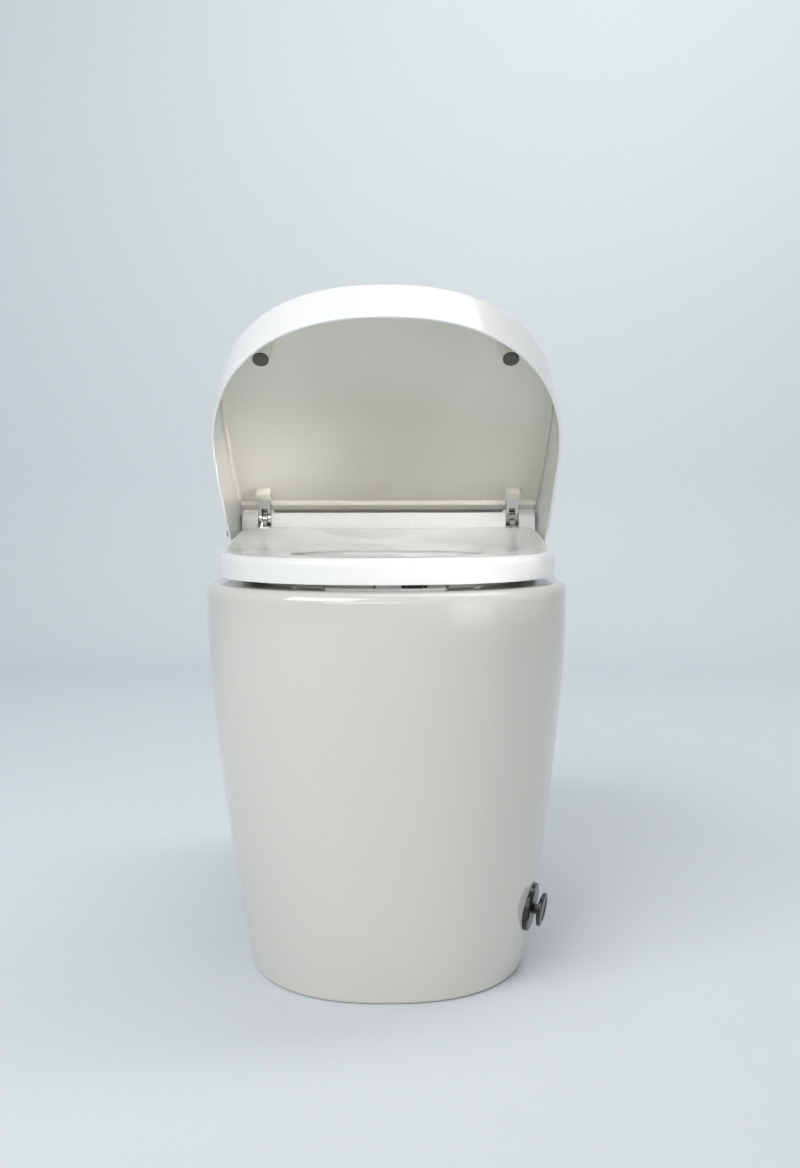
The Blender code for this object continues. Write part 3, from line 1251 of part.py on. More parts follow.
def water_parts():
    floor = RIM_HEIGHT + 2 * CLEAR + PLATE_THICK
    tub = TUB_FLOOR + TUB_WALL + CLEAR
    x, y = HEATER_LOW
    width, depth, height = HEATER_SIZE
    rest = min(x, -WELL_HALF_WIDTH - TUB_WALL)
    tank = block("tank", (rest, y, floor), (x + width, y + depth, floor + height))
    finish(tank, "water_heater_tank", "white_plastic")
    pump_end = (PUMP_X + PUMP_LENGTH, PUMP_Y, tub + PUMP_RADIUS)
    pump = barrel("pump", PUMP_RADIUS, (PUMP_X, PUMP_Y, tub + PUMP_RADIUS), pump_end)
    foot_low = (PUMP_X, PUMP_Y - PUMP_RADIUS / 2, tub)
    weld(pump, block("foot", foot_low, (PUMP_X + PUMP_LENGTH, PUMP_Y + PUMP_RADIUS / 2, tub + PUMP_RADIUS)))
    finish(pump, "flush_pump", "black_plastic")
    width, depth, height = VALVE_SIZE
    valve = block("valve", (VALVE_X, VALVE_Y, tub), (VALVE_X + width, VALVE_Y + depth, tub + height))
    centre = (VALVE_X + width / 2, VALVE_Y + depth / 2, tub + height - OVERRUN / 2)
    top = (centre[0], centre[1], tub + height + SOLENOID_HEIGHT)
    weld(valve, barrel("coil", SOLENOID_RADIUS, centre, top))
    finish(valve, "inlet_valve", "white_plastic")
    nipple_high = (NIPPLE_X, NIPPLE_Y, tub - CLEAR - TUB_WALL / 2)
    nipple = barrel("nipple", NIPPLE_RADIUS, (NIPPLE_X, NIPPLE_Y, TUB_FLOOR - NIPPLE_LENGTH), nipple_high)
    nut_low = (NIPPLE_X, NIPPLE_Y, TUB_FLOOR - CLEAR - NIPPLE_NUT_HEIGHT)
    nut = barrel("nut", NIPPLE_NUT, nut_low, (NIPPLE_X, NIPPLE_Y, TUB_FLOOR - CLEAR), 6)
    bore_low = (NIPPLE_X, NIPPLE_Y, TUB_FLOOR - NIPPLE_LENGTH - OVERRUN)
    bore = barrel("bore", NIPPLE_BORE, bore_low, (NIPPLE_X, NIPPLE_Y, TUB_FLOOR + OVERRUN))
    weld(nipple, nut)
    finish(carve(nipple, bore), "water_inlet_nipple", "brass")


def power_parts():
    tub = TUB_FLOOR + TUB_WALL + CLEAR
    x, y = SUPPLY_LOW
    width, depth, height = SUPPLY_SIZE
    supply = block("supply", (x, y, tub), (x + width, y + depth, tub + height))
    finish(supply, "power_supply", "black_plastic")
    floor = RIM_HEIGHT + 2 * CLEAR + PLATE_THICK
    width, thick, height = BOARD_SIZE
    board = block("board", (-width / 2, BOARD_Y, floor), (width / 2, BOARD_Y + thick, floor + height))
    chip_high = BOARD_Y + CLEAR
    for share in (-0.3, 0.0, 0.3):
        chip_x = width * share
        half = height / 5
        low = (chip_x - half, BOARD_Y - thick, floor + height / 2 - half)
        weld(board, block("chip", low, (chip_x + half, chip_high, floor + height / 2 + half)))
    finish(board, "control_board", "board")
    gland_low = (GLAND_X, GLAND_Y, TUB_FLOOR - NIPPLE_LENGTH / 2)
    gland = barrel("gland", NIPPLE_RADIUS, gland_low, (GLAND_X, GLAND_Y, tub - CLEAR - TUB_WALL / 2))
    nut_low = (GLAND_X, GLAND_Y, TUB_FLOOR - CLEAR - NIPPLE_NUT_HEIGHT)
    weld(gland, barrel("nut", NIPPLE_NUT, nut_low, (GLAND_X, GLAND_Y, TUB_FLOOR - CLEAR), 6))
    finish(gland, "power_inlet_gland", "black_plastic")


def side_knob(press, turn):
    """The small round control on the left of the rear cover: it turns, and it can be pushed."""
    face = -crown_half_width(KNOB_Y) + CROWN_DRAFT / 2
    wall_x = face - CLEAR - CROWN_DRAFT
    bezel = barrel("bezel", KNOB_RADIUS, (wall_x, KNOB_Y, KNOB_Z), (wall_x - BEZEL_THICK, KNOB_Y, KNOB_Z))
    bore_start = (wall_x + OVERRUN, KNOB_Y, KNOB_Z)
    bore = barrel("bore", KNOB_STEM_RADIUS + CLEAR, bore_start, (wall_x - OVERRUN, KNOB_Y, KNOB_Z))
    finish(carve(bezel, bore), "knob_bezel", "black_plastic")
    cap_x = wall_x - BEZEL_THICK - KNOB_TRAVEL - CLEAR
    stem_end = (cap_x + CLEAR, KNOB_Y, KNOB_Z)
    stem = barrel("stem", KNOB_STEM_RADIUS, (wall_x + OVERRUN, KNOB_Y, KNOB_Z), stem_end)
    finish(stem, "knob_stem", "white_plastic", press)
    outline = []
    for spot in range(KNOB_RIBS * 2):
        angle = math.pi * spot / KNOB_RIBS
        reach = KNOB_RADIUS * (1.0 if spot % 2 else KNOB_RIB_SHARE)
        outline.append((KNOB_Y + reach * math.cos(angle), KNOB_Z + reach * math.sin(angle)))
    cap = prism("cap", outline, "X", cap_x - KNOB_CAP, cap_x)
    finish(cap, "knob_cap", "black_plastic", turn)


def spring_coil(name, start, along, length):
    """An open coil of round wire, one unbroken tube."""
    side = along.orthogonal().normalized()
    up = along.cross(side)
    steps = int(SPRING_TURNS * SPRING_STEPS)
    rings = []
    for step in range(steps + 1):
        angle = 2 * math.pi * SPRING_TURNS * step / steps
        out = side * math.cos(angle) + up * math.sin(angle)
        forward = (up * math.cos(angle) - side * math.sin(angle)).normalized()
        climb = SPRING_WIRE + (length - 2 * SPRING_WIRE) * step / steps
        centre = start + out * SPRING_RADIUS + along * climb
        across = forward.cross(out)
        rings.append([centre + out * a + across * b for a, b in circle(SPRING_WIRE, 6)])
    return loft(name, rings)


def foot_flange(base, outward, lip, room_depth):
    """The black flange in its seat on the glaze, with the bush behind it for stem and spring."""
    shoulder = lip - FOOT_FLANGE_THICK * FLANGE_EDGE_SHARE
    inner = FOOT_NECK_RADIUS + FOOT_TRAVEL
    profile = [(0.0, FOOT_FLANGE_RADIUS), (shoulder, FOOT_FLANGE_RADIUS), (lip, inner)]
    flange = turned("flange", profile, base, outward, BARREL_SIDES * 2)
    bush_end = base - outward * FOOT_BUSH_LENGTH
    weld(flange, barrel("bush", FOOT_BUSH_RADIUS, bush_end, base + outward * lip / 2))
    top = base + outward * (lip + OVERRUN)
    stem_bore = barrel("stem_bore", FOOT_STEM_RADIUS + CLEAR, bush_end - outward * OVERRUN, top)
    spring_room = SPRING_RADIUS + SPRING_WIRE + CLEAR
    carve(flange, stem_bore, barrel("room", spring_room, base - outward * room_depth, top))
    finish(flange, "foot_button_flange", "black_plastic")


def foot_switch(base, outward):
    side = outward.cross(Vector((0.0, 0.0, 1.0))).normalized()
    up = side.cross(outward)
    half = SWITCH_SIZE / 2
    front = base - outward * (FOOT_BUSH_LENGTH + CLEAR)
    back = front - outward * SWITCH_SIZE
    rings = []
    for centre in (front, back):
        corners = ((-1, -1), (1, -1), (1, 1), (-1, 1))
        rings.append([centre + side * half * a + up * half * b for a, b in corners])
    switch = loft("switch", rings)
    room_end = back + outward * SWITCH_SIZE / 4
    carve(switch, barrel("room", FOOT_STEM_RADIUS + CLEAR, front + outward * OVERRUN, room_end))
    finish(switch, "foot_switch", "grey_plastic")


def foot_button(holder):
    """Kick button low on the right: a disc on a sprung neck over its flange."""
    point, outward = foot_frame()
    base = point - outward * (FOOT_SEAT_DEPTH - CLEAR)
    lip = FOOT_SEAT_DEPTH + FOOT_FLANGE_THICK
    room_depth = FOOT_BUSH_LENGTH * SPRING_ROOM_SHARE
    foot_flange(base, outward, lip, room_depth)
    foot_switch(base, outward)
    disc_back = base + outward * (lip + FOOT_STANDOFF)
    shoulder = FOOT_DISC_THICK * (1 - FLANGE_EDGE_SHARE)
    face_radius = FOOT_DISC_RADIUS - FOOT_DISC_THICK / 2
    profile = [(0.0, FOOT_DISC_RADIUS), (shoulder, FOOT_DISC_RADIUS), (FOOT_DISC_THICK, face_radius)]
    button = turned("disc", profile, disc_back, outward, BARREL_SIDES * 2)
    neck_start = base + outward * (lip + FOOT_TRAVEL + CLEAR)
    neck_end = disc_back + outward * FOOT_DISC_THICK / 2
    stem_start = disc_back - outward * FOOT_STEM_LENGTH
    neck = barrel("neck", FOOT_NECK_RADIUS, neck_start, neck_end)
    weld(button, neck, barrel("stem", FOOT_STEM_RADIUS, stem_start, neck_end))
    finish(button, "foot_button", "black_plastic", holder)
    coil_start = base - outward * (room_depth - CLEAR)
    length = (neck_start - coil_start).length - CLEAR
    finish(spring_coil("coil", coil_start, outward, length), "foot_button_spring", "steel")


def floor_fixings():
    """Angle brackets inside the skirt, one each side, that hold it to the floor."""
    for side, word in SIDES:
        y_low, y_high = BRACKET_Y - BRACKET_LENGTH / 2, BRACKET_Y + BRACKET_LENGTH / 2
        half_width, front, rear = body_sizes(0.0)
        share = (y_high - WIDEST_Y) / rear
        wall_x = (half_width - SKIRT_WALL) * (1 - share ** REAR_POWER) ** (1 / REAR_POWER)
        near, far = sorted((side * wall_x, side * (wall_x - BRACKET_WIDTH)))
        plate = block("plate", (near, y_low, 0.0), (far, y_high, BRACKET_PLATE))
        edge_x = sorted((side * wall_x, side * (wall_x - BRACKET_PLATE)))
        upright_low = (edge_x[0], y_low, BRACKET_PLATE / 2)
        weld(plate, block("upright", upright_low, (edge_x[1], y_high, BRACKET_WIDTH)))
        screw_x = side * (wall_x - BRACKET_WIDTH / 2)
        hole = barrel("hole", BRACKET_HOLE, (screw_x, BRACKET_Y, -OVERRUN), (screw_x, BRACKET_Y, OVERRUN))
        finish(carve(plate, hole), "floor_bracket_" + word, "steel")


def build():
    clear_scene()
    hinge = (0.0, HINGE_Y, HINGE_Z)
    lid_axis = axis_empty("lid_axis", hinge)
    seat_axis = axis_empty("seat_axis", hinge)
    shaft_axis = axis_empty("hinge_shaft_axis", hinge)
    motors = {}
    centre = hinge_point(MOTOR_BACK, -MOTOR_DROP)
    for side, word in ((-1, "seat"), (1, "lid")):
        motors[side] = axis_empty(word + "_pulley_axis", (0.0, *centre))
    slide = axis_empty("wand_slide", wand_place(0.0, 0.0))
    roller = axis_empty("wand_roller_axis", wand_place(ROLLER_S, 0.0, WAND_RADIUS + CLEAR + ROLLER_RADIUS))
    dryer_axis = axis_empty("dryer_axis", (SCROLL_X, SCROLL_Y, RIM_HEIGHT))
    odour_axis = axis_empty("deodoriser_axis", (ODOUR_X, ODOUR_Y, RIM_HEIGHT))
    press = axis_empty("knob_press", (0.0, KNOB_Y, KNOB_Z))
    turn = axis_empty("knob_turn", (0.0, KNOB_Y, KNOB_Z))
    foot = axis_empty("foot_button_slide", foot_frame()[0])
    ceramic_body()
    drain()
    floor_fixings()
    chassis()
    rear_cover()
    hinge_blocks()
    lid_shell(lid_axis)
    lid_panel(lid_axis)
    lid_pads(lid_axis)
    seat(seat_axis)
    hinges(shaft_axis, lid_axis, seat_axis)
    drives(motors)
    wash_wand(slide, roller)
    dryer(dryer_axis)
    deodoriser(odour_axis)
    water_parts()
    power_parts()
    side_knob(press, turn)
    foot_button(foot)
    lid_axis.rotation_euler = (-math.radians(LID_OPEN_DEGREES), 0.0, 0.0)


build()
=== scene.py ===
import json
import math

import bmesh
import bpy
from mathutils import Matrix, Vector


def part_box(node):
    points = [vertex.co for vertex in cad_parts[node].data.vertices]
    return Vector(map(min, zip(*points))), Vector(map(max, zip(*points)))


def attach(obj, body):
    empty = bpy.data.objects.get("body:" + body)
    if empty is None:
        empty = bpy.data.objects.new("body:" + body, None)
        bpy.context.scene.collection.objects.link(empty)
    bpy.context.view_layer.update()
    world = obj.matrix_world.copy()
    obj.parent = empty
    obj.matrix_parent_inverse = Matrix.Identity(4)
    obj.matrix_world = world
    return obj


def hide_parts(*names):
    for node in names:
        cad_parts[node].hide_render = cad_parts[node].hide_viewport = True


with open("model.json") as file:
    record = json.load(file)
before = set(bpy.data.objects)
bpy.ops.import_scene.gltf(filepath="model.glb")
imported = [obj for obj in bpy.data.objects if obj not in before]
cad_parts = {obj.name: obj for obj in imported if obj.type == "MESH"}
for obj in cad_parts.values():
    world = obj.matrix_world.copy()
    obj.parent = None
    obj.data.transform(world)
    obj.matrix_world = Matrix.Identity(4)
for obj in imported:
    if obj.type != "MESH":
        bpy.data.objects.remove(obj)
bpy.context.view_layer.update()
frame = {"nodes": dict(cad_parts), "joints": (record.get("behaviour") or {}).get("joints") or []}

# Ceramic body
# One casting of vitreous china: skirt, rim, rear deck and bowl, dipped in white glaze and fired.
# It is hollow behind the skirt, stands on a ground foot, and has an arch at the back for the fitter.
body_low, body_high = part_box("ceramic_body")
WIDEST_Y = -0.085
HALF_WIDTH = body_high.x
RIM_HEIGHT = body_high.z
FRONT_REACH = WIDEST_Y - body_low.y
REAR_REACH = body_high.y - WIDEST_Y
FRONT_POWER = 2.35
REAR_POWER = 3.2
FRONT_STEPS = 40
REAR_STEPS = 56
FINE_STEPS = 400
POINT_DIGITS = 7
SIDE_TAPER = 0.0445
FRONT_TAPER = 0.045
REAR_TAPER = 0.018
TAPER_TOP = 0.400
TAPER_POWER = 1.6
BODY_LEVELS = 16
ROUND_STEPS = 8
SMALL_STEPS = 5
ROUND_SIDES = 64
FOOT_EDGE = 0.004
RIM_EDGE = 0.012
SKIRT_WALL = 0.014
RIM_DEPTH = 0.036
BOWL_Y = -0.105
BOWL_HALF_WIDTH = 0.134
BOWL_FRONT = 0.142
BOWL_REAR = 0.128
BOWL_DEPTH = 0.300
BOWL_SHIFT = 0.050
BOWL_POWER = 2.2
BOWL_WALL = 0.013
BOWL_EDGE = 0.007
BOWL_LEVELS = 24
BOWL_LIP_SHARE = 0.06
BOWL_PROFILE = ((0.0, 1.0), (0.12, 0.99), (0.30, 0.95), (0.45, 0.88), (0.60, 0.765), (0.74, 0.61))
BOWL_PROFILE += ((0.85, 0.46), (0.93, 0.36), (1.0, 0.24))
THROAT_Y, THROAT_Z = 0.062, 0.1495
NECK_RADIUS = 0.036
THROAT_RADIUS = 0.027
WELL = ((-0.122, 0.078), (0.122, 0.240))
WAND_NOTCH_X = (-0.0185, 0.0475)
WAND_NOTCH_LOW = 0.383
ARCH_HALF_WIDTH, ARCH_HEIGHT, ARCH_EDGE = 0.070, 0.140, 0.020
FOOT_Z = 0.070
FOOT_SLIDE = 0.082
FLANGE_RADIUS = 0.026
FLANGE_DEPTH = 0.003
BUSH_RADIUS = 0.009
OVERRUN = 0.010
CLEAR = 0.0003
SHARP_DEGREES = 32.0
GLAZE_COLOUR = (0.68, 0.665, 0.62, 1.0)
GLAZE_SHADE = (0.655, 0.64, 0.595, 1.0)
GLAZE_PEEL_SHARE = 0.03


class Wire:
    """One output of a material's nodes, so that sums on it are written as Python."""

    def __init__(self, finish, socket):
        self.finish = finish
        self.socket = socket

    def combine(self, operation, *values):
        return self.finish.node("ShaderNodeMath", {"operation": operation}, dict(enumerate(values)))

    def __add__(self, other):
        return self.combine("ADD", self, other)

    __radd__ = __add__

    def __sub__(self, other):
        return self.combine("SUBTRACT", self, other)

    def __rsub__(self, other):
        return self.combine("SUBTRACT", other, self)

    def __mul__(self, other):
        return self.combine("MULTIPLY", self, other)

    __rmul__ = __mul__

    # Python calls __lt__ where a number stands before > and a wire after it.
    def __gt__(self, other):
        return self.combine("GREATER_THAN", self, other)

    def __lt__(self, other):
        return self.combine("LESS_THAN", self, other)


class Finish:
    """A material in the making. Its shader's fixed values are given by name."""

    def __init__(self, name, **values):
        self.material = bpy.data.materials.new(name)
        self.material.use_nodes = True
        self.tree = self.material.node_tree
        self.shader = self.tree.nodes["Principled BSDF"]
        for key, value in values.items():
            self.shader.inputs[key.replace("_", " ").title().replace("Ior", "IOR")].default_value = value

    def node(self, kind, settings=None, inputs=None, output=0):
        """Add a node: first its settings, then the values or links of its sockets."""
        made = self.tree.nodes.new(kind)
        for key, value in (settings or {}).items():
            setattr(made, key, value)
        for key, value in (inputs or {}).items():
            self.plug(made.inputs[key], value)
        return Wire(self, made.outputs[output])

    def plug(self, socket, value):
        """Link a wire to a socket, or give the socket a value of its own."""
        if isinstance(value, Wire):
            self.tree.links.new(value.socket, socket)
        else:
            socket.default_value = value

    def place(self):
        return self.node("ShaderNodeTexCoord", output="Object")

    def noise(self, scale, detail=2.0, roughness=0.5, place=None):
        inputs = {"Vector": place or self.place(), "Scale": scale, "Detail": detail, "Roughness": roughness}
        return self.node("ShaderNodeTexNoise", {}, inputs)

    def blend(self, factor, first, second):
        """A colour between two, by a factor from 0 to 1."""
        made = self.tree.nodes.new("ShaderNodeMix")
        made.data_type = "RGBA"
        sockets = [socket for socket in made.inputs if socket.enabled]
        for socket, value in zip(sockets, (factor, first, second)):
            self.plug(socket, value)
        return Wire(self, next(socket for socket in made.outputs if socket.enabled))

    def feed(self, socket, wire):
        self.tree.links.new(wire.socket, self.shader.inputs[socket])

    def bump(self, height, depth, strength):
        """Raise the surface by height times depth, in metres."""
        inputs = {"Height": height, "Distance": depth, "Strength": strength}
        self.feed("Normal", self.node("ShaderNodeBump", {}, inputs))

    def sheen(self, pattern, middle, spread):
        """Let the roughness vary with a pattern round a middle value."""
        self.feed("Roughness", (pattern - 0.5) * spread + middle)


def glaze():
    """Fired glaze: a deep gloss over a very slight waviness, a little greyer where it lies thinner."""
    finish = Finish("glazed_china", ior=1.52, coat_weight=0.35, coat_roughness=0.03)
    tone = finish.noise(scale=5.0, detail=3.0)
    finish.feed("Base Color", finish.blend(tone, GLAZE_COLOUR, GLAZE_SHADE))
    finish.sheen(finish.noise(scale=38.0, detail=3.0), middle=0.075, spread=0.05)
    peel = finish.noise(scale=95.0, detail=2.0) * GLAZE_PEEL_SHARE
    finish.bump(finish.noise(scale=7.0, detail=1.0) + peel, depth=0.0010, strength=0.5)
    return finish.material


def solid(name, points, faces):
    """Make an object from points and faces, with its faces outward."""
    mesh = bpy.data.meshes.new(name)
    mesh.from_pydata([tuple(point) for point in points], [], faces)
    work = bmesh.new()
    work.from_mesh(mesh)
    bmesh.ops.recalc_face_normals(work, faces=work.faces)
    work.to_mesh(mesh)
    work.free()
    made = bpy.data.objects.new(name, mesh)
    bpy.context.scene.collection.objects.link(made)
    return made


def loft(name, rings, hoop=False):
    """Skin a stack of rings; a hoop also joins its last ring to its first."""
    count = len(rings[0])
    faces = []
    for row in range(len(rings) if hoop else len(rings) - 1):
        low, high = row * count, (row + 1) % len(rings) * count
        for spot in range(count):
            after = (spot + 1) % count
            faces.append((low + spot, low + after, high + after, high + spot))
    if not hoop:
        faces.append(tuple(range(count)))
        faces.append(tuple(range((len(rings) - 1) * count, len(rings) * count)))
    return solid(name, [point for ring in rings for point in ring], faces)


def prism(name, outline, axis, start, end):
    """Extrude an outline along X, Y or Z; its pairs are the other two axes."""
    order = {"X": lambda a, b, t: (t, a, b), "Y": lambda a, b, t: (a, t, b), "Z": lambda a, b, t: (a, b, t)}
    return loft(name, [[order[axis](a, b, level) for a, b in outline] for level in (start, end)])


def block(name, low, high):
    outline = [(low[0], low[1]), (high[0], low[1]), (high[0], high[1]), (low[0], high[1])]
    return prism(name, outline, "Z", low[2], high[2])


def arc(radius, begin, end, count, centre=(0.0, 0.0)):
    """Points on an arc, angles in degrees."""
    turns = [math.radians(begin + (end - begin) * spot / (count - 1)) for spot in range(count)]
    return [(centre[0] + radius * math.cos(turn), centre[1] + radius * math.sin(turn)) for turn in turns]


def turned(name, profile, start, direction, sides=ROUND_SIDES):
    """Turn a profile of (distance along the axis, radius) pairs round an axis."""
    along = Vector(direction).normalized()
    side = along.orthogonal().normalized()
    up = along.cross(side)
    rings = []
    for distance, radius in profile:
        centre = Vector(start) + along * distance
        rings.append([centre + side * a + up * b for a, b in arc(radius, 0.0, 360.0, sides + 1)[:-1]])
    return loft(name, rings)


def barrel(name, radius, start, end, sides=ROUND_SIDES):
    span = Vector(end) - Vector(start)
    return turned(name, [(0.0, radius), (span.length, radius)], start, span, sides)


def carve(body, *tools, operation="DIFFERENCE"):
    """Cut the tools out of the body, or join or cross it with them, and drop them."""
    for tool in tools:
        step = body.modifiers.new("carve", "BOOLEAN")
        step.operation = operation
        step.solver = "EXACT"
        step.object = tool
    graph = bpy.context.evaluated_depsgraph_get()
    body.data = bpy.data.meshes.new_from_object(body.evaluated_get(graph))
    body.modifiers.clear()
    for tool in tools:
        bpy.data.objects.remove(tool)
    return body


def weld(body, *tools):
    return carve(body, *tools, operation="UNION")


def fit(made, name, material, body, slot, *nodes):
    """Name a piece, shade it, and put it on its body in place of its nodes."""
    made.name = name
    made.data.name = name
    made.data.materials.clear()
    made.data.materials.append(material)
    made.data.polygons.foreach_set("material_index", [0] * len(made.data.polygons))
    made.data.shade_smooth()
    made.data.set_sharp_from_angle(angle=math.radians(SHARP_DEGREES))
    even = made.modifiers.new("even_shading", "WEIGHTED_NORMAL")
    even.keep_sharp = True
    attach(made, body)
    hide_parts(*nodes)
    return made


def oval_point(turn, half_width, front, rear, powers):
    across, along = math.cos(turn), math.sin(turn)
    reach, power = (front, powers[0]) if along < 0 else (rear, powers[1])
    x = math.copysign(abs(across) ** (2 / power), across) * half_width
    return x, math.copysign(abs(along) ** (2 / power), along) * reach


def even_quarter(begin, count):
    """Angles that part one quarter of the body's outline into even lengths."""
    fine = [begin + math.pi / 2 * spot / FINE_STEPS for spot in range(FINE_STEPS + 1)]
    sizes = (HALF_WIDTH, FRONT_REACH, REAR_REACH, (FRONT_POWER, REAR_POWER))
    points = [Vector(oval_point(turn, *sizes)) for turn in fine]
    lengths = [0.0]
    for first, second in zip(points, points[1:]):
        lengths.append(lengths[-1] + (second - first).length)
    turns, spot = [], 0
    for step in range(count):
        goal = lengths[-1] * step / count
        while lengths[spot + 1] < goal:
            spot += 1
        share = (goal - lengths[spot]) / (lengths[spot + 1] - lengths[spot])
        turns.append(fine[spot] + (fine[spot + 1] - fine[spot]) * share)
    return turns


EVEN_TURNS = even_quarter(0.0, REAR_STEPS) + even_quarter(math.pi / 2, REAR_STEPS)
EVEN_TURNS += even_quarter(math.pi, FRONT_STEPS) + even_quarter(3 * math.pi / 2, FRONT_STEPS)


def egg(half_width, front, rear, centre_y, level, inset=0.0, powers=(FRONT_POWER, REAR_POWER), turns=None):
    """A plan outline: rounder at the front, fuller at the rear. The level may follow x and y."""
    ring = []
    for turn in turns or EVEN_TURNS:
        x, y = oval_point(turn, half_width - inset, front - inset, rear - inset, powers)
        z = level(x, centre_y + y) if callable(level) else level
        ring.append(tuple(round(value, POINT_DIGITS) for value in (x, centre_y + y, z)))
    return ring


def body_ring(level, inset=0.0):
    share = max(0.0, (TAPER_TOP - level) / TAPER_TOP) ** TAPER_POWER
    half_width, front = HALF_WIDTH - SIDE_TAPER * share, FRONT_REACH - FRONT_TAPER * share
    return egg(half_width, front, REAR_REACH - REAR_TAPER * share, WIDEST_Y, level, inset)


def spaced(low, high, count):
    return [low + (high - low) * spot / (count - 1) for spot in range(count)]


def bowl_size(share):
    """How wide the bowl is at a share of its depth: a smooth cubic through the profile's points."""
    for spot, (first, second) in enumerate(zip(BOWL_PROFILE, BOWL_PROFILE[1:])):
        if share <= second[0]:
            before = BOWL_PROFILE[max(spot - 1, 0)]
            after = BOWL_PROFILE[min(spot + 2, len(BOWL_PROFILE) - 1)]
            run = second[0] - first[0]
            lean_in = (second[1] - before[1]) / (second[0] - before[0]) * run
            lean_out = (after[1] - first[1]) / (after[0] - first[0]) * run
            t = (share - first[0]) / run
            start, end = (2 * t ** 3 - 3 * t ** 2 + 1) * first[1], (3 * t ** 2 - 2 * t ** 3) * second[1]
            return start + end + (t ** 3 - 2 * t ** 2 + t) * lean_in + (t ** 3 - t ** 2) * lean_out
    return BOWL_PROFILE[-1][1]


def bowl_ring(share, grow, level):
    size = bowl_size(share)
    sizes = (BOWL_HALF_WIDTH * size + grow, BOWL_FRONT * size + grow, BOWL_REAR * size + grow)
    return egg(*sizes, BOWL_Y + BOWL_SHIFT * share, level, 0.0, (BOWL_POWER, BOWL_POWER))


def bowl_solid(grow):
    """The hollow of the bowl with its rounded lip, or the china round it when it is grown."""
    rings = []
    if grow:
        rings.append(bowl_ring(0.0, grow, RIM_HEIGHT - grow))
    else:
        rings.append(bowl_ring(0.0, BOWL_EDGE, RIM_HEIGHT + OVERRUN))
        for across, down in arc(BOWL_EDGE, 90.0, 180.0, ROUND_STEPS, (BOWL_EDGE, -BOWL_EDGE)):
            rings.append(bowl_ring(0.0, across, RIM_HEIGHT + down))
    for share in spaced(BOWL_LIP_SHARE, 1.0, BOWL_LEVELS):
        drop = grow if share == 1.0 else 0.0
        rings.append(bowl_ring(share, grow, RIM_HEIGHT - BOWL_DEPTH * share - drop))
    return loft("bowl", rings)


def china_skin():
    foot = arc(FOOT_EDGE, 270.0, 180.0, SMALL_STEPS, (FOOT_EDGE, FOOT_EDGE))
    rings = [body_ring(up, inset) for inset, up in foot]
    rings += [body_ring(level) for level in spaced(FOOT_EDGE, RIM_HEIGHT - RIM_EDGE, BODY_LEVELS)[1:]]
    for inset, up in arc(RIM_EDGE, 180.0, 90.0, ROUND_STEPS, (RIM_EDGE, -RIM_EDGE))[1:]:
        rings.append(body_ring(RIM_HEIGHT + up, inset))
    return rings


def ceramic_body(foot_point, foot_outward):
    body = loft("body", china_skin())
    levels = spaced(FOOT_EDGE, RIM_HEIGHT - RIM_DEPTH, BODY_LEVELS // 2)
    rings = [body_ring(level, SKIRT_WALL) for level in levels]
    below = [(x, y, -OVERRUN) for x, y, z in rings[0]]
    hollow = loft("hollow", [below] + rings)
    bowl_back = (0.0, BOWL_Y + BOWL_SHIFT, THROAT_Z)
    neck = barrel("neck", NECK_RADIUS, bowl_back, (0.0, THROAT_Y, THROAT_Z))
    carve(hollow, bowl_solid(BOWL_WALL), neck)
    carve(body, hollow, bowl_solid(0.0))
    throat = barrel("throat", THROAT_RADIUS, bowl_back, (0.0, THROAT_Y + OVERRUN, THROAT_Z))
    ceiling = RIM_HEIGHT - RIM_DEPTH - OVERRUN
    well = block("well", (*WELL[0], ceiling), (*WELL[1], RIM_HEIGHT + OVERRUN))
    notch_low = (WAND_NOTCH_X[0], BOWL_Y + BOWL_REAR - OVERRUN, WAND_NOTCH_LOW)
    notch = block("notch", notch_low, (WAND_NOTCH_X[1], WELL[0][1] + OVERRUN, RIM_HEIGHT + OVERRUN))
    outline = [(-ARCH_HALF_WIDTH, -OVERRUN), (ARCH_HALF_WIDTH, -OVERRUN)]
    for side, begin in ((1, 0.0), (-1, 90.0)):
        corner = (side * (ARCH_HALF_WIDTH - ARCH_EDGE), ARCH_HEIGHT - ARCH_EDGE)
        outline += arc(ARCH_EDGE, begin, begin + 90.0, ROUND_STEPS, corner)
    arch_start = body_high.y - REAR_TAPER - SKIRT_WALL - ARCH_EDGE
    arch = prism("arch", outline, "Y", arch_start, body_high.y + OVERRUN)
    outside = foot_point + foot_outward * (SKIRT_WALL + OVERRUN)
    flat = barrel("flat", FLANGE_RADIUS + CLEAR, foot_point - foot_outward * FLANGE_DEPTH, outside)
    inside = foot_point - foot_outward * (SKIRT_WALL + FLANGE_DEPTH + OVERRUN)
    bore = barrel("bore", BUSH_RADIUS + CLEAR, inside, outside)
    return carve(body, throat, well, notch, arch, flat, bore)


def foot_frame():
    """Where the foot button sits on the skirt, and which way it faces."""
    share = ((TAPER_TOP - FOOT_Z) / TAPER_TOP) ** TAPER_POWER
    half_width, front = HALF_WIDTH - SIDE_TAPER * share, FRONT_REACH - FRONT_TAPER * share
    along = FOOT_SLIDE / front
    across = (1 - along ** FRONT_POWER) ** (1 / FRONT_POWER)
    above = ((TAPER_TOP - FOOT_Z - FLANGE_RADIUS) / TAPER_TOP) ** TAPER_POWER
    lean = SIDE_TAPER * (share - above) / FLANGE_RADIUS
    out_x, out_y = across ** (FRONT_POWER - 1) / half_width, -(along ** (FRONT_POWER - 1)) / front
    outward = Vector((out_x, out_y, 0.0)).normalized()
    outward.z = -lean
    return Vector((half_width * across, WIDEST_Y - FOOT_SLIDE, FOOT_Z)), outward.normalized()


foot_point, foot_outward = foot_frame()
casting = ceramic_body(foot_point, foot_outward)
fit(casting, "china_casting", glaze(), "toilet", "glazed_ceramic", "ceramic_body")

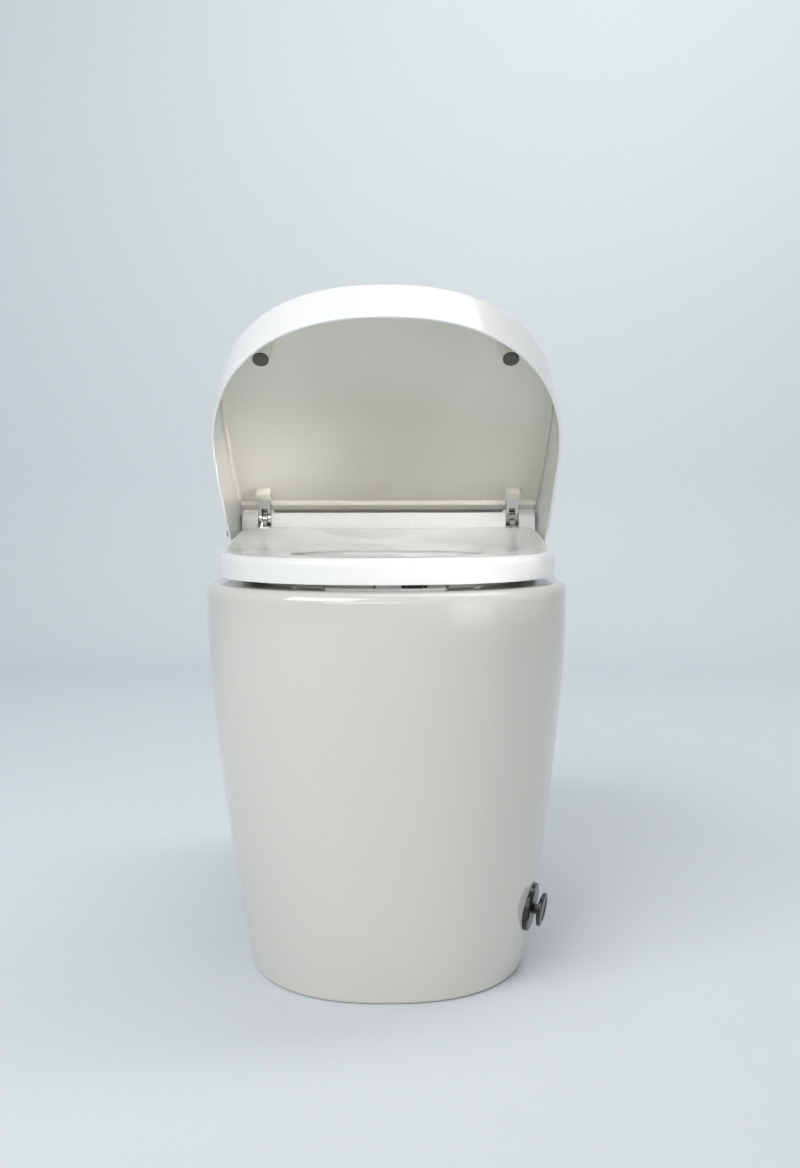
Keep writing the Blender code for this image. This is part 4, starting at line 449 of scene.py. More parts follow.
# Lid shell
# A deep cap of glossy injection-moulded resin with a 3 mm wall and an eased rim.
# A rolled tail at the back turns with it round the hinge line.
HINGE = Vector(next(joint for joint in frame["joints"] if joint["name"] == "lid_hinge")["pos_m"])
OPEN_DEGREES = 42.3
CROWN_SIDE_STEP, CROWN_FRONT_STEP = 0.005, 0.001
CROWN = (HALF_WIDTH - CROWN_SIDE_STEP, FRONT_REACH - CROWN_FRONT_STEP, REAR_REACH - CROWN_SIDE_STEP, WIDEST_Y)
CROWN_WALL = 0.003
CROWN_DRAFT = 0.002
CROWN_EDGE = 0.009
RIM_EASE = 0.0009
SKIN_BACK = 0.0002
LID_GAP = 0.003
LID_BOTTOM = RIM_HEIGHT + LID_GAP
LID_FRONT_TOP = 0.482
TAIL_RADIUS = 0.022
TAIL_STEPS = 24
LID_REAR_TOP = HINGE.z + TAIL_RADIUS
LID_SLOPE = (LID_REAR_TOP - LID_FRONT_TOP) / (HINGE.y - (WIDEST_Y - CROWN[1]))
EAR_REACH = 0.012
KNUCKLE_GAP = 0.0005
BLOCK_OUTSIDE = 0.18295
EAR_INSIDE = BLOCK_OUTSIDE + KNUCKLE_GAP
HINGE_INSET = 0.0385
HINGE_X = CROWN[0] - HINGE_INSET
FORK_WIDTH = 0.0145
TAIL_GAP = 0.002
TAIL_HALF_WIDTH = HINGE_X - FORK_WIDTH / 2 - TAIL_GAP
RESIN_COLOUR = (0.87, 0.875, 0.865, 1.0)
RESIN_SHADE = (0.845, 0.85, 0.835, 1.0)
RESIN_GRAIN_SHARE = 0.006


def resin(name, colour, shade, roughness=0.13):
    """Moulded resin: glossy, with the tool's faint flow marks and a touch of sink."""
    finish = Finish(name, ior=1.49, coat_weight=0.2, coat_roughness=0.05)
    finish.feed("Base Color", finish.blend(finish.noise(scale=4.0), colour, shade))
    finish.sheen(finish.noise(scale=60.0, detail=4.0), roughness, spread=0.07)
    grain = finish.noise(scale=700.0, detail=1.0) * RESIN_GRAIN_SHARE
    finish.bump(finish.noise(scale=9.0, detail=1.0) + grain, depth=0.0007, strength=0.5)
    return finish.material


def crown(name, front_top, rear_top, edge, inset, bottom, lip):
    """The dome that the lid and the rear cover are both cut from; its lip is eased or flared."""
    slope = (rear_top - front_top) / (HINGE.y - (WIDEST_Y - CROWN[1]))

    def ring(extra, drop):
        return egg(*CROWN, lambda x, y: rear_top + slope * (y - HINGE.y) - inset - drop, inset + extra)

    rings = [egg(*CROWN, bottom + up, inset + across) for across, up in lip]
    for degrees in spaced(0.0, 90.0, ROUND_STEPS + 2):
        turn = math.radians(degrees)
        rings.append(ring(CROWN_DRAFT + edge * (1 - math.cos(turn)), edge * (1 - math.sin(turn))))
    return loft(name, rings)


def eased(size):
    return arc(size, 270.0, 180.0, SMALL_STEPS, (size, size))


def flared(size):
    return [(-size, -OVERRUN)] + arc(size, -90.0, 0.0, SMALL_STEPS, (-size, size))


def opened(piece):
    """Swing a piece made on the closed lid to where the lid stands at rest."""
    to_hinge = Matrix.Translation(HINGE)
    swing = Matrix.Rotation(-math.radians(OPEN_DEGREES), 4, "X")
    piece.data.transform(to_hinge @ swing @ to_hinge.inverted())
    return piece


def lid_shell():
    dome = (LID_FRONT_TOP, LID_REAR_TOP, CROWN_EDGE)
    shell = crown("lid", *dome, SKIN_BACK, LID_BOTTOM, eased(RIM_EASE))
    inside = crown("inside", *dome, CROWN_WALL, LID_BOTTOM, flared(RIM_EASE))
    wide, far, high = HALF_WIDTH + OVERRUN, body_high.y + OVERRUN, LID_REAR_TOP + TAIL_RADIUS * 2
    rear = block("rear", (-wide, HINGE.y + EAR_REACH, 0.0), (wide, far, high))
    middle = block("middle", (-EAR_INSIDE, HINGE.y, LID_BOTTOM - OVERRUN), (EAR_INSIDE, far, high))
    carve(shell, inside, rear, middle)
    outer, inner = TAIL_RADIUS - CLEAR, TAIL_RADIUS - CROWN_WALL + CLEAR
    drop, lap = CROWN_WALL * LID_SLOPE, HINGE.y - CROWN_WALL
    outline = [(lap, HINGE.z + inner - drop), (lap, HINGE.z + outer - drop)]
    centre = (HINGE.y, HINGE.z)
    outline += arc(outer, 90.0, 0.0, TAIL_STEPS, centre) + arc(inner, 0.0, 90.0, TAIL_STEPS, centre)
    return weld(shell, prism("tail", outline, "X", -TAIL_HALF_WIDTH, TAIL_HALF_WIDTH))


white_resin = resin("white_resin", RESIN_COLOUR, RESIN_SHADE)
fit(opened(lid_shell()), "lid_outer_cap", white_resin, "lid", "white_plastic", "lid_shell")

# Lid inner panel
# A second moulding snapped inside the cap, with a cove round its edge. It carries two posts for the
# rubber pads and two bosses that the chrome straps are screwed to.
PANEL_DROP = 0.0075
PANEL_THICK = 0.0025
PANEL_COVE = 0.004
PANEL_COVE_STEPS = 7
PANEL_EDGE = 0.0053
PANEL_BACK = ((0.0055, -0.0020), (0.0066, 0.0002), (0.0098, 0.0025))
PANEL_RIDGE = 0.003
POST_INSET = 0.062
POST_X, POST_Y, POST_RADIUS = CROWN[0] - POST_INSET, -0.217, 0.010
POST_EASE, POST_FILLET = 0.0004, 0.003
POST_STEPS = 6
PAD_TOP = 0.4565
UP = (0.0, 0.0, 1.0)
STRAP_REACH = 0.0297
BOSS_LENGTH, BOSS_DROP, BOSS_HALF_WIDTH = 0.014, 0.008, 0.0095
BOSS_ROUND = 0.0062
RIB_LENGTH, RIB_HEIGHT, RIB_SLOPE = 0.0147, 0.004, 0.0042
RIB_ROUND = 0.0012
RIB_KNEE_SHARE = 0.41
# The lining's two tones are darker and warmer than the cap's resin: painted shade and a painted warm
# reflection of the lid's shaded inside.
PANEL_PAINTED_SHADE_COLOUR = (0.84, 0.82, 0.75, 1.0)
PANEL_PAINTED_SHADE_DEEP = (0.81, 0.79, 0.72, 1.0)


def panel_low(y):
    return LID_REAR_TOP - PANEL_DROP + LID_SLOPE * (y - HINGE.y)


def panel_rib(rib):
    """The stiffening rib across the back of the panel, ramped in front and let in for the straps."""
    back = HINGE.y - PANEL_RIDGE
    front = back - RIB_LENGTH
    level, ahead = panel_low(front), body_low.y
    foot = level - RIB_HEIGHT - OVERRUN
    knee = front + RIB_SLOPE
    centre = (knee + RIB_ROUND * RIB_KNEE_SHARE, level - RIB_HEIGHT + RIB_ROUND)
    shoulder = arc(RIB_ROUND, 225.0, 270.0, SMALL_STEPS, centre)
    outline = [(ahead, panel_low(ahead) - RIB_HEIGHT - OVERRUN), (back, foot)]
    round_z = panel_low(back) - RIB_HEIGHT + RIB_ROUND
    outline.append((back, round_z))
    outline += arc(RIB_ROUND, 0.0, -90.0, SMALL_STEPS, (back - RIB_ROUND, round_z))
    outline += shoulder[::-1] + [(front, level), (front, level + PANEL_THICK), (ahead, level + PANEL_THICK)]
    carve(rib, prism("ramp", outline, "X", -HALF_WIDTH, HALF_WIDTH))
    half = FORK_WIDTH / 2 + CLEAR
    for side in (-1, 1):
        low = (side * HINGE_X - half, ahead, foot)
        carve(rib, block("way", low, (side * HINGE_X + half, HINGE.y, LID_REAR_TOP)))
    return rib


def lid_panel():
    def ring(inset, up):
        return egg(*CROWN, lambda x, y: panel_low(y) + up, inset)

    inset = PANEL_EDGE + PANEL_COVE
    cove = arc(PANEL_COVE, 90.0, 180.0, PANEL_COVE_STEPS, (inset, -PANEL_COVE))[1:]
    panel = loft("panel", [ring(across, up) for across, up in [(inset, 0.0), *cove, *PANEL_BACK]])
    levels = (-RIB_HEIGHT, PANEL_THICK / 2)
    weld(panel, panel_rib(loft("rib", [ring(PANEL_EDGE + CLEAR, level) for level in levels])))
    wide, far, high = HALF_WIDTH, body_high.y, LID_REAR_TOP + TAIL_RADIUS
    carve(panel, block("rear", (-wide, HINGE.y - PANEL_RIDGE, RIM_HEIGHT), (wide, far, high)))
    for side in (-1, 1):
        end = panel_low(POST_Y) + PANEL_THICK / 2
        fillet = arc(POST_FILLET, 180.0, 270.0, POST_STEPS, (POST_FILLET, POST_FILLET + PANEL_THICK))
        profile = [(CLEAR, POST_RADIUS - POST_EASE), (CLEAR + POST_EASE, POST_RADIUS)]
        profile += [(end - PAD_TOP - drop, POST_RADIUS + grow) for grow, drop in fillet]
        profile.append((end - PAD_TOP, POST_RADIUS + POST_FILLET))
        weld(panel, turned("post", profile, (side * POST_X, POST_Y, PAD_TOP), UP))
    for side in (-1, 1):
        back = HINGE.y - STRAP_REACH - CLEAR
        front = back - BOSS_LENGTH
        low, half = panel_low(front) - BOSS_DROP, BOSS_HALF_WIDTH
        high, x = panel_low(front) + PANEL_THICK / 2, side * HINGE_X
        nose_y, nose_z = front + BOSS_ROUND, low + BOSS_ROUND
        outline = [(back, low)] + arc(BOSS_ROUND, 270.0, 180.0, ROUND_STEPS, (nose_y, nose_z))
        boss = prism("boss", outline + [(front, high), (back, high)], "X", x - half, x + half)
        outline = [(x - half, back)]
        outline += arc(BOSS_ROUND, 180.0, 270.0, ROUND_STEPS, (x - half + BOSS_ROUND, nose_y))
        outline += arc(BOSS_ROUND, 270.0, 360.0, ROUND_STEPS, (x + half - BOSS_ROUND, nose_y))
        outline.append((x + half, back))
        around = prism("around", outline, "Z", low - OVERRUN, high + OVERRUN)
        weld(panel, carve(boss, around, operation="INTERSECT"))
    return panel


# The lining's colour is painted shade and a painted warm reflection, darker and warmer than the cap's white
# resin.
panel_resin_painted_shade = resin("panel_resin_painted_shade", PANEL_PAINTED_SHADE_COLOUR, PANEL_PAINTED_SHADE_DEEP, 0.16)
fit(opened(lid_panel()), "lid_lining", panel_resin_painted_shade, "lid", "white_plastic", "lid_inner_panel")

# Lid pads
# Dark rubber discs pressed on the two posts, slightly domed, so that the lid lands softly on the seat.
# PAD_DOME gives heights above the pad's face and shares of its radius.
PAD_RADIUS, PAD_THICK = 0.0085, 0.003
PAD_DOME = ((0.0, 0.55), (0.0002, 0.8), (0.0006, 0.94), (0.0012, 1.0))
RUBBER_COLOUR = (0.085, 0.088, 0.085, 1.0)
RUBBER_DUST = (0.13, 0.132, 0.125, 1.0)


def rubber(name, colour, dust):
    """Moulded rubber: matt, finely pitted, with dust in its grain."""
    finish = Finish(name, ior=1.5, specular_ior_level=0.35)
    grain = finish.noise(scale=240.0, detail=5.0, roughness=0.65)
    finish.feed("Base Color", finish.blend(grain, colour, dust))
    finish.sheen(finish.noise(scale=180.0, detail=3.0), middle=0.7, spread=0.2)
    finish.bump(finish.noise(scale=1500.0, detail=3.0), depth=0.00012, strength=0.6)
    return finish.material


dark_rubber = rubber("dark_rubber", RUBBER_COLOUR, RUBBER_DUST)
for side, word in ((-1, "left"), (1, "right")):
    profile = [(up, PAD_RADIUS * share) for up, share in PAD_DOME] + [(PAD_THICK, PAD_RADIUS)]
    pad = turned("pad", profile, (side * POST_X, POST_Y, PAD_TOP - PAD_THICK), UP)
    fit(opened(pad), "lid_landing_pad_" + word, dark_rubber, "lid", "grey_rubber", "lid_pad_" + word)

# Seat
# A heated seat: a glossy upper moulding over a flat base, sonically joined at the edge.
# It is level in front, rises to the hinges, and dips towards its opening.
SEAT_INSET = 0.0078
SEAT_HALF_WIDTH, SEAT_FRONT = CROWN[0] - SEAT_INSET, 0.206
SEAT_REAR_Y = 0.0525
SEAT_REAR_POWER = 12.0
SEAT_BOTTOM, SEAT_TOP = 0.4275, 0.453
SEAT_RISE, SEAT_RISE_Y, SEAT_SIDE_LEAD, SEAT_RISE_POWER = 0.0225, -0.012, 0.158, 1.6
SEAT_EDGE, SEAT_SKIN = 0.008, 0.003
HOLE = (0.106, 0.118, 0.096, -0.110)
HOLE_POWER, HOLE_EASE = 2.2, 0.0016
HOLE_SLANT, HOLE_SLANT_DROP, LIP_DEPTH, LIP_DROP = 0.0035, 0.008, 0.0018, 0.0016
DISH_WIDTH, DISH_DROP = 0.027, 0.0042
SEAT_STEPS = 192
SEAT_REAR_STEPS = 48
SEAT_TOP_STEPS = 10
SEAT_CORNER_CROWD = 2.2
SEAT_LEG_FRONT, SEAT_LEG_DEPTH = 0.026, 0.0185
BASE_THICK = 0.0025


def seat_top_z(x, y):
    """The seat's upper face: a saddle that rises to the hinges, sooner along its sides."""
    begin = SEAT_RISE_Y - SEAT_SIDE_LEAD * (x / SEAT_HALF_WIDTH) ** 2
    share = min(max((y - begin) / (SEAT_REAR_Y - begin), 0.0), 1.0)
    return SEAT_TOP + SEAT_RISE * share ** SEAT_RISE_POWER


def corner_share(step, count):
    """Steps across the seat's back edge that crowd towards its corner."""
    share = step / count
    return 1.0 - (1.0 - share) ** SEAT_CORNER_CROWD


def seat_turns(outer):
    """Both outlines of the seat share one count of points; the outer ones crowd into its rear corners."""
    steps = SEAT_REAR_STEPS
    if outer:
        shares = [corner_share(step, steps) ** (SEAT_REAR_POWER / 2) for step in range(steps + 1)]
        quarter = [math.asin(min(1.0, share)) for share in shares]
        rear = quarter + [math.pi - turn for turn in reversed(quarter[:-1])]
    else:
        rear = spaced(0.0, math.pi, 2 * steps + 1)
    return rear + spaced(math.pi, 2 * math.pi, SEAT_STEPS - 2 * steps + 1)[1:-1]


OUTER_TURNS, HOLE_TURNS = seat_turns(True), seat_turns(False)


def seat_outer(level, inset):
    sizes = (SEAT_HALF_WIDTH, SEAT_FRONT, SEAT_REAR_Y - WIDEST_Y, WIDEST_Y)
    return egg(*sizes, level, inset, (FRONT_POWER, SEAT_REAR_POWER), OUTER_TURNS)


def seat_hole(level, grow):
    return egg(*HOLE, level, -grow, (HOLE_POWER, HOLE_POWER), HOLE_TURNS)


def seat_hoop(name, skin, bottom):
    """A hoop over the seat's section, inset by a skin."""
    rings = [seat_outer(bottom, skin)]
    for degrees in spaced(0.0, 90.0, ROUND_STEPS):
        turn = math.radians(degrees)
        drop, inset = skin + SEAT_EDGE * (1 - math.sin(turn)), skin + SEAT_EDGE * (1 - math.cos(turn))
        rings.append(seat_outer(lambda x, y: seat_top_z(x, y) - drop, inset))
    outer, inner = rings[-1], seat_hole(0.0, skin + DISH_WIDTH)
    for share in spaced(0.0, 1.0, SEAT_TOP_STEPS)[1:-1]:
        ring = []
        for first, second in zip(outer, inner):
            x, y = first[0] + (second[0] - first[0]) * share, first[1] + (second[1] - first[1]) * share
            ring.append((x, y, seat_top_z(x, y) - skin))
        rings.append(ring)
    for share in spaced(0.0, 1.0, ROUND_STEPS)[:-1]:
        drop = skin + DISH_DROP * share ** 2
        grow = skin + DISH_WIDTH + (HOLE_EASE + HOLE_SLANT - DISH_WIDTH) * share
        rings.append(seat_hole(lambda x, y: seat_top_z(x, y) - drop, grow))
    lip = arc(HOLE_EASE, 90.0, 180.0, SMALL_STEPS, (HOLE_EASE + HOLE_SLANT, -HOLE_EASE))
    lip += [(HOLE_SLANT + LIP_DEPTH, -HOLE_EASE), (HOLE_SLANT + LIP_DEPTH, -HOLE_EASE - LIP_DROP)]
    lip += [(HOLE_SLANT, -HOLE_EASE - LIP_DROP), (0.0, -HOLE_EASE - HOLE_SLANT_DROP)]
    for across, down in lip:
        drop = skin + DISH_DROP - down
        rings.append(seat_hole(lambda x, y: seat_top_z(x, y) - drop, skin + across))
    rings.append(seat_hole(bottom, skin))
    return loft(name, rings, hoop=True)


def seat_shell():
    top = seat_hoop("seat", 0.0, SEAT_BOTTOM)
    recess = seat_hoop("recess", SEAT_SKIN, SEAT_BOTTOM - OVERRUN)
    half, far, high = FORK_WIDTH / 2, SEAT_REAR_Y + OVERRUN, HINGE.z + OVERRUN
    front, floor = HINGE.y - SEAT_LEG_FRONT, HINGE.z - SEAT_LEG_DEPTH
    pockets = []
    for side in (-1, 1):
        x, room, cut = side * HINGE_X, half + SEAT_SKIN, half + CLEAR
        low = (x - room, front - SEAT_SKIN, floor - SEAT_SKIN)
        carve(recess, block("pad", low, (x + room, far, HINGE.z)))
        pockets.append(block("pocket", (x - cut, front - CLEAR, floor - CLEAR), (x + cut, far, high)))
    return carve(top, recess, *pockets)


def seat_base():
    levels, inset = (SEAT_BOTTOM, SEAT_BOTTOM + BASE_THICK), SEAT_SKIN + CLEAR
    rings = [seat_outer(level, inset) for level in levels]
    rings += [seat_hole(level, inset) for level in reversed(levels)]
    return loft("base", rings, hoop=True)


fit(seat_shell(), "seat_upper", white_resin, "seat", "white_plastic", "seat_top_shell")
fit(seat_base(), "seat_underside", white_resin, "seat", "white_plastic", "seat_base")

# Rear cover
# The glossy housing over the works, cut from the same dome as the lid. A low fascia closes the gap
# between the hinges, and windows behind it let the belts through.
COVER_EDGE = 0.013
COVER_BOTTOM = RIM_HEIGHT + CLEAR
FASCIA_FRONT, FASCIA_THICK, FASCIA_RISE = 0.0095, 0.0033, 0.0066
TAIL_CLEAR, SWEEP_LEAN = 0.0042, 0.0045
PLATE_THICK = 0.004
PLATE_TOP = COVER_BOTTOM + PLATE_THICK
BELT_ROOM_DEPTH = 0.034
KNOB_Y, KNOB_Z = 0.100, 0.470
STEM_RADIUS = 0.004
STEM_SIDES = 32
WAND_DEGREES, WAND_Y, WAND_Z, WAND_HALF_HEIGHT = 22.0, 0.045, 0.404, 0.011


def hinge_point(along, up):
    return HINGE.y + along, HINGE.z + up


def cover_region(grow):
    """What the rear cover leaves free: the lid in front, its sweep, the hinges and the ears."""
    wide, low, high = HALF_WIDTH + OVERRUN, 0.0, HINGE.z + TAIL_RADIUS * 2
    front_y = body_low.y - OVERRUN
    tools = [block("front", (-wide, front_y, low), (wide, HINGE.y - FASCIA_FRONT + grow, high))]
    reach, radius = FASCIA_FRONT - FASCIA_THICK - grow, TAIL_RADIUS + TAIL_CLEAR + grow
    lean = SWEEP_LEAN + grow
    begin = math.degrees(math.acos(reach / radius)) - 180
    outline = [(-reach, TAIL_RADIUS * 2), (-reach, 0.0)] + arc(radius, begin, 0.0, TAIL_STEPS)
    outline += [(radius + lean, TAIL_RADIUS), (radius + lean, TAIL_RADIUS * 2)]
    tools.append(prism("sweep", [hinge_point(*point) for point in outline], "X", -wide, wide))
    tools.append(block("lip", (-wide, front_y, HINGE.z + FASCIA_RISE - grow), (wide, HINGE.y, high)))
    for side in (-1, 1):
        near = HINGE_X - FORK_WIDTH / 2 - 2 * KNUCKLE_GAP - grow
        xs = sorted((side * near, side * wide))
        back = HINGE.y + EAR_REACH + 2 * KNUCKLE_GAP + grow
        tools.append(block("ear", (xs[0], front_y, low), (xs[1], back, high)))
    return tools


def rear_cover():
    top = LID_REAR_TOP
    cover = crown("cover", top, top, COVER_EDGE, 0.0, COVER_BOTTOM, eased(RIM_EASE / 2))
    carve(cover, *cover_region(0.0))
    room = crown("room", top, top, COVER_EDGE, CROWN_WALL, COVER_BOTTOM, [(0.0, -OVERRUN)])
    carve(room, *cover_region(FASCIA_THICK - CLEAR))
    carve(cover, room)
    turn = math.radians(WAND_DEGREES)
    wand_top = WAND_Z + (HINGE.y - WAND_Y) * math.tan(turn) + (WAND_HALF_HEIGHT + CLEAR) / math.cos(turn)
    tools = [block("wand", (WAND_NOTCH_X[0], 0.0, RIM_HEIGHT), (-WAND_NOTCH_X[0], HINGE.y, wand_top))]
    near = HINGE_X - FORK_WIDTH / 2 - 2 * KNUCKLE_GAP
    back = HINGE.y + EAR_REACH + 2 * KNUCKLE_GAP + FASCIA_THICK
    for side in (-1, 1):
        xs = sorted((side * near, side * (BLOCK_OUTSIDE + KNUCKLE_GAP)))
        tools.append(block("belt", (xs[0], HINGE.y, PLATE_TOP), (xs[1], HINGE.y + BELT_ROOM_DEPTH, HINGE.z)))
        xs = sorted((side * (near - FASCIA_THICK), side * (BLOCK_OUTSIDE + 2 * CLEAR)))
        front = HINGE.y - FASCIA_FRONT + FASCIA_THICK
        tools.append(block("plate", (xs[0], front, RIM_HEIGHT - OVERRUN), (xs[1], back, PLATE_TOP + CLEAR)))
    share = (KNOB_Y - WIDEST_Y) / CROWN[2]
    side_x = -(CROWN[0] * (1 - share ** REAR_POWER) ** (1 / REAR_POWER) - CROWN_DRAFT)
    start, end = (side_x + OVERRUN, KNOB_Y, KNOB_Z), (side_x - OVERRUN, KNOB_Y, KNOB_Z)
    tools.append(barrel("knob_hole", STEM_RADIUS + CLEAR, start, end, STEM_SIDES))
    return carve(cover, *tools)


fit(rear_cover(), "works_housing", white_resin, "toilet", "white_plastic", "rear_cover")

# Hinge hardware
# Polished chrome straps: the lid's is a fork round the seat's knuckle, and both hang on one steel pin.
# The white blocks outside them hold the dampers that slow both leaves.
CHROME_COLOUR = (0.80, 0.80, 0.81, 1.0)
CHROME_HAZE = (0.70, 0.70, 0.71, 1.0)
STEEL_COLOUR = (0.52, 0.53, 0.54, 1.0)
STEEL_DARK = (0.40, 0.41, 0.42, 1.0)
GREY_RESIN = (0.36, 0.37, 0.375, 1.0)
GREY_RESIN_SHADE = (0.31, 0.32, 0.325, 1.0)
EDGE_DEGREES, FLAT_DEGREES = 35.0, 0.5
MERGE_DISTANCE = 1e-6
BRUSH_STRETCH = 60.0
STRAP_EASES = (("lid", 0.0016), ("seat", 0.0014))
BLOCK_EASE = 0.0009


def chrome():
    """Plated zinc: a mirror with a breath of haze over faint polishing waves."""
    finish = Finish("polished_chrome", metallic=1.0)
    haze = finish.noise(scale=55.0, detail=4.0)
    finish.feed("Base Color", finish.blend(haze, CHROME_COLOUR, CHROME_HAZE))
    finish.sheen(haze, middle=0.08, spread=0.08)
    finish.bump(finish.noise(scale=160.0), depth=0.00004, strength=0.5)
    return finish.material


def brushed(name, colour, dark, axis, roughness=0.30):
    """Machined metal with fine marks round one axis."""
    finish = Finish(name, metallic=1.0)
    stretch = [1.0, 1.0, 1.0]
    stretch[axis] = BRUSH_STRETCH
    place = finish.node("ShaderNodeMapping", {}, {"Vector": finish.place(), "Scale": stretch})
    marks = finish.noise(scale=40.0, detail=4.0, roughness=0.6, place=place)
    finish.feed("Base Color", finish.blend(marks, colour, dark))
    finish.sheen(marks, roughness, spread=0.2)
    finish.bump(marks, depth=0.00005, strength=0.5)
    return finish.material


def softened(node, edge, steps=3):
    """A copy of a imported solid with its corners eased, as moulding, casting or milling leaves them."""
    work = bmesh.new()
    work.from_mesh(frame["nodes"][node].data)
    bmesh.ops.remove_doubles(work, verts=work.verts, dist=MERGE_DISTANCE)
    flat = math.radians(FLAT_DEGREES)
    bmesh.ops.dissolve_limit(work, angle_limit=flat, verts=work.verts, edges=work.edges)
    corners = [side for side in work.edges if side.is_manifold]
    corners = [side for side in corners if side.calc_face_angle() > math.radians(EDGE_DEGREES)]
    rounding = {"segments": steps, "profile": 0.5, "affect": "EDGES", "clamp_overlap": True}
    bmesh.ops.bevel(work, geom=corners, offset=edge, **rounding)
    mesh = bpy.data.meshes.new(node)
    work.to_mesh(mesh)
    work.free()
    made = bpy.data.objects.new(node, mesh)
    bpy.context.scene.collection.objects.link(made)
    return made


def dress(node, material):
    """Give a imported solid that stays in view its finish."""
    mesh = frame["nodes"][node].data
    mesh.materials.clear()
    mesh.materials.append(material)


polished_chrome = chrome()
pin_steel = brushed("pin_steel", STEEL_COLOUR, STEEL_DARK, 0)
grey_resin = resin("grey_resin", GREY_RESIN, GREY_RESIN_SHADE, 0.42)
for word in ("left", "right"):
    for leaf, edge in STRAP_EASES:
        node = leaf + "_strap_" + word
        fit(softened(node, edge), leaf + "_hinge_strap_" + word, polished_chrome, leaf, "chrome", node)
    node = "hinge_block_" + word
    fit(softened(node, BLOCK_EASE), "hinge_post_" + word, white_resin, "toilet", "white_plastic", node)
    dress("hinge_pin_" + word, pin_steel)
    dress("hinge_pulley_" + word, grey_resin)
    dress("hinge_damper_" + word, grey_resin)

# Drive motors and belts
# A small geared motor each side under the housing turns its hinge pin by a belt.
MOTOR_EASE = 0.001
for role in ("lid", "seat"):
    node = role + "_drive_motor"
    fit(softened(node, MOTOR_EASE), role + "_gear_motor", grey_resin, "toilet", "grey_plastic", node)
    dress(role + "_motor_pulley", pin_steel)
    dress(role + "_drive_belt", dark_rubber)

# Chassis and the works
# The tray screwed to the rear deck and all that stands in it under the housing. WORKS gives each solid
# with its piece, finish, body, slot and how far its corners are eased.
BLACK_RESIN = (0.016, 0.016, 0.018, 1.0)
BLACK_RESIN_SHADE = (0.022, 0.022, 0.024, 1.0)
BOARD_COLOUR = (0.012, 0.13, 0.055, 1.0)
BOARD_TRACE = (0.03, 0.24, 0.10, 1.0)
BRASS_COLOUR = (0.72, 0.53, 0.26, 1.0)
BRASS_DARK = (0.52, 0.36, 0.16, 1.0)


def circuit_board():
    """Green lacquer over copper tracks that run in short straight lanes."""
    finish = Finish("circuit_lacquer", roughness=0.35, coat_weight=0.4)
    inputs = {"Vector": finish.place(), "Color1": BOARD_COLOUR, "Color2": BOARD_TRACE, "Mortar": BOARD_TRACE}
    inputs.update({"Scale": 260.0, "Mortar Size": 0.06, "Bias": -0.4})
    lanes = finish.node("ShaderNodeTexBrick", {"offset": 0.37}, inputs)
    finish.feed("Base Color", lanes)
    return finish.material


black_resin = resin("black_resin", BLACK_RESIN, BLACK_RESIN_SHADE, 0.26)
lacquer = circuit_board()
brass = brushed("turned_brass", BRASS_COLOUR, BRASS_DARK, 2, 0.32)
case_steel = brushed("case_steel", STEEL_COLOUR, STEEL_DARK, 2, 0.34)
WORKS = (
    ("chassis_tray", "works_tray", grey_resin, "toilet", "grey_plastic", 0.0008),
    ("wand_guide", "wand_sleeve", grey_resin, "toilet", "grey_plastic", 0.0008),
    ("wand_stepper", "wand_motor", case_steel, "toilet", "steel", 0.0008),
    ("wash_wand", "spray_wand", white_resin, "wand", "white_plastic", 0.0012),
    ("wand_shield", "wand_flap", white_resin, "wand", "white_plastic", 0.0010),
    ("dryer_scroll", "blower_case", grey_resin, "toilet", "grey_plastic", 0.0008),
    ("dryer_motor", "blower_motor", case_steel, "toilet", "steel", 0.0010),
    ("deodoriser_frame", "air_filter_fan_frame", black_resin, "toilet", "black_plastic", 0.0006),
    ("control_board", "circuit_board", lacquer, "toilet", "board", 0.0002),
    ("power_supply", "supply_box", black_resin, "toilet", "black_plastic", 0.0018),
    ("flush_pump", "pump_case", black_resin, "toilet", "black_plastic", 0.0015),
    ("inlet_valve", "valve_body", white_resin, "toilet", "white_plastic", 0.0015),
    ("water_heater_tank", "heater_tank", white_resin, "toilet", "white_plastic", 0.0025),
    ("water_inlet_nipple", "inlet_nipple", brass, "toilet", "brass", 0.0005),
    ("power_inlet_gland", "inlet_gland", black_resin, "toilet", "black_plastic", 0.0006),
)
for node, name, material, rides, slot, edge in WORKS:
    fit(softened(node, edge, 2), name, material, rides, slot, node)
dress("wand_roller", dark_rubber)
dress("dryer_impeller", black_resin)
dress("deodoriser_fan", grey_resin)

# Seat heater and buffers
# A foil film with a serpentine track under the seat's skin, and four soft feet under its base.
FOIL_COLOUR = (0.62, 0.40, 0.17, 1.0)
FOIL_TRACK = (0.80, 0.80, 0.78, 1.0)
TRACK_SHARE = 0.55
WHITE_RUBBER = (0.72, 0.72, 0.69, 1.0)
WHITE_RUBBER_SHADE = (0.66, 0.66, 0.63, 1.0)
BUFFER_EASE = 0.0012


def heater_foil():
    """Etched foil: bright lanes of track on amber film."""
    finish = Finish("heater_foil", metallic=0.8, roughness=0.35)
    inputs = {"Vector": finish.place(), "Scale": 55.0}
    lanes = finish.node("ShaderNodeTexWave", {"bands_direction": "Y"}, inputs)
    finish.feed("Base Color", finish.blend(lanes > TRACK_SHARE, FOIL_COLOUR, FOIL_TRACK))
    return finish.material


dress("seat_heater", heater_foil())
white_rubber = rubber("white_rubber", WHITE_RUBBER, WHITE_RUBBER_SHADE)
for end in ("front", "rear"):
    for word in ("left", "right"):
        place = end + "_" + word
        foot = softened("seat_buffer_" + place, BUFFER_EASE)
        fit(foot, "seat_foot_" + place, white_rubber, "seat", "white_rubber", "seat_buffer_" + place)

# Drain and floor fixings
# A plastic trapway siphon behind the bowl, its rubber seal on the floor outlet, and two brackets.
BRACKET_EASE = 0.0005
dress("trapway_pipe", grey_resin)
dress("outlet_seal", dark_rubber)
for word in ("left", "right"):
    node = "floor_bracket_" + word
    fit(softened(node, BRACKET_EASE, 2), "floor_angle_" + word, case_steel, "toilet", "steel", node)
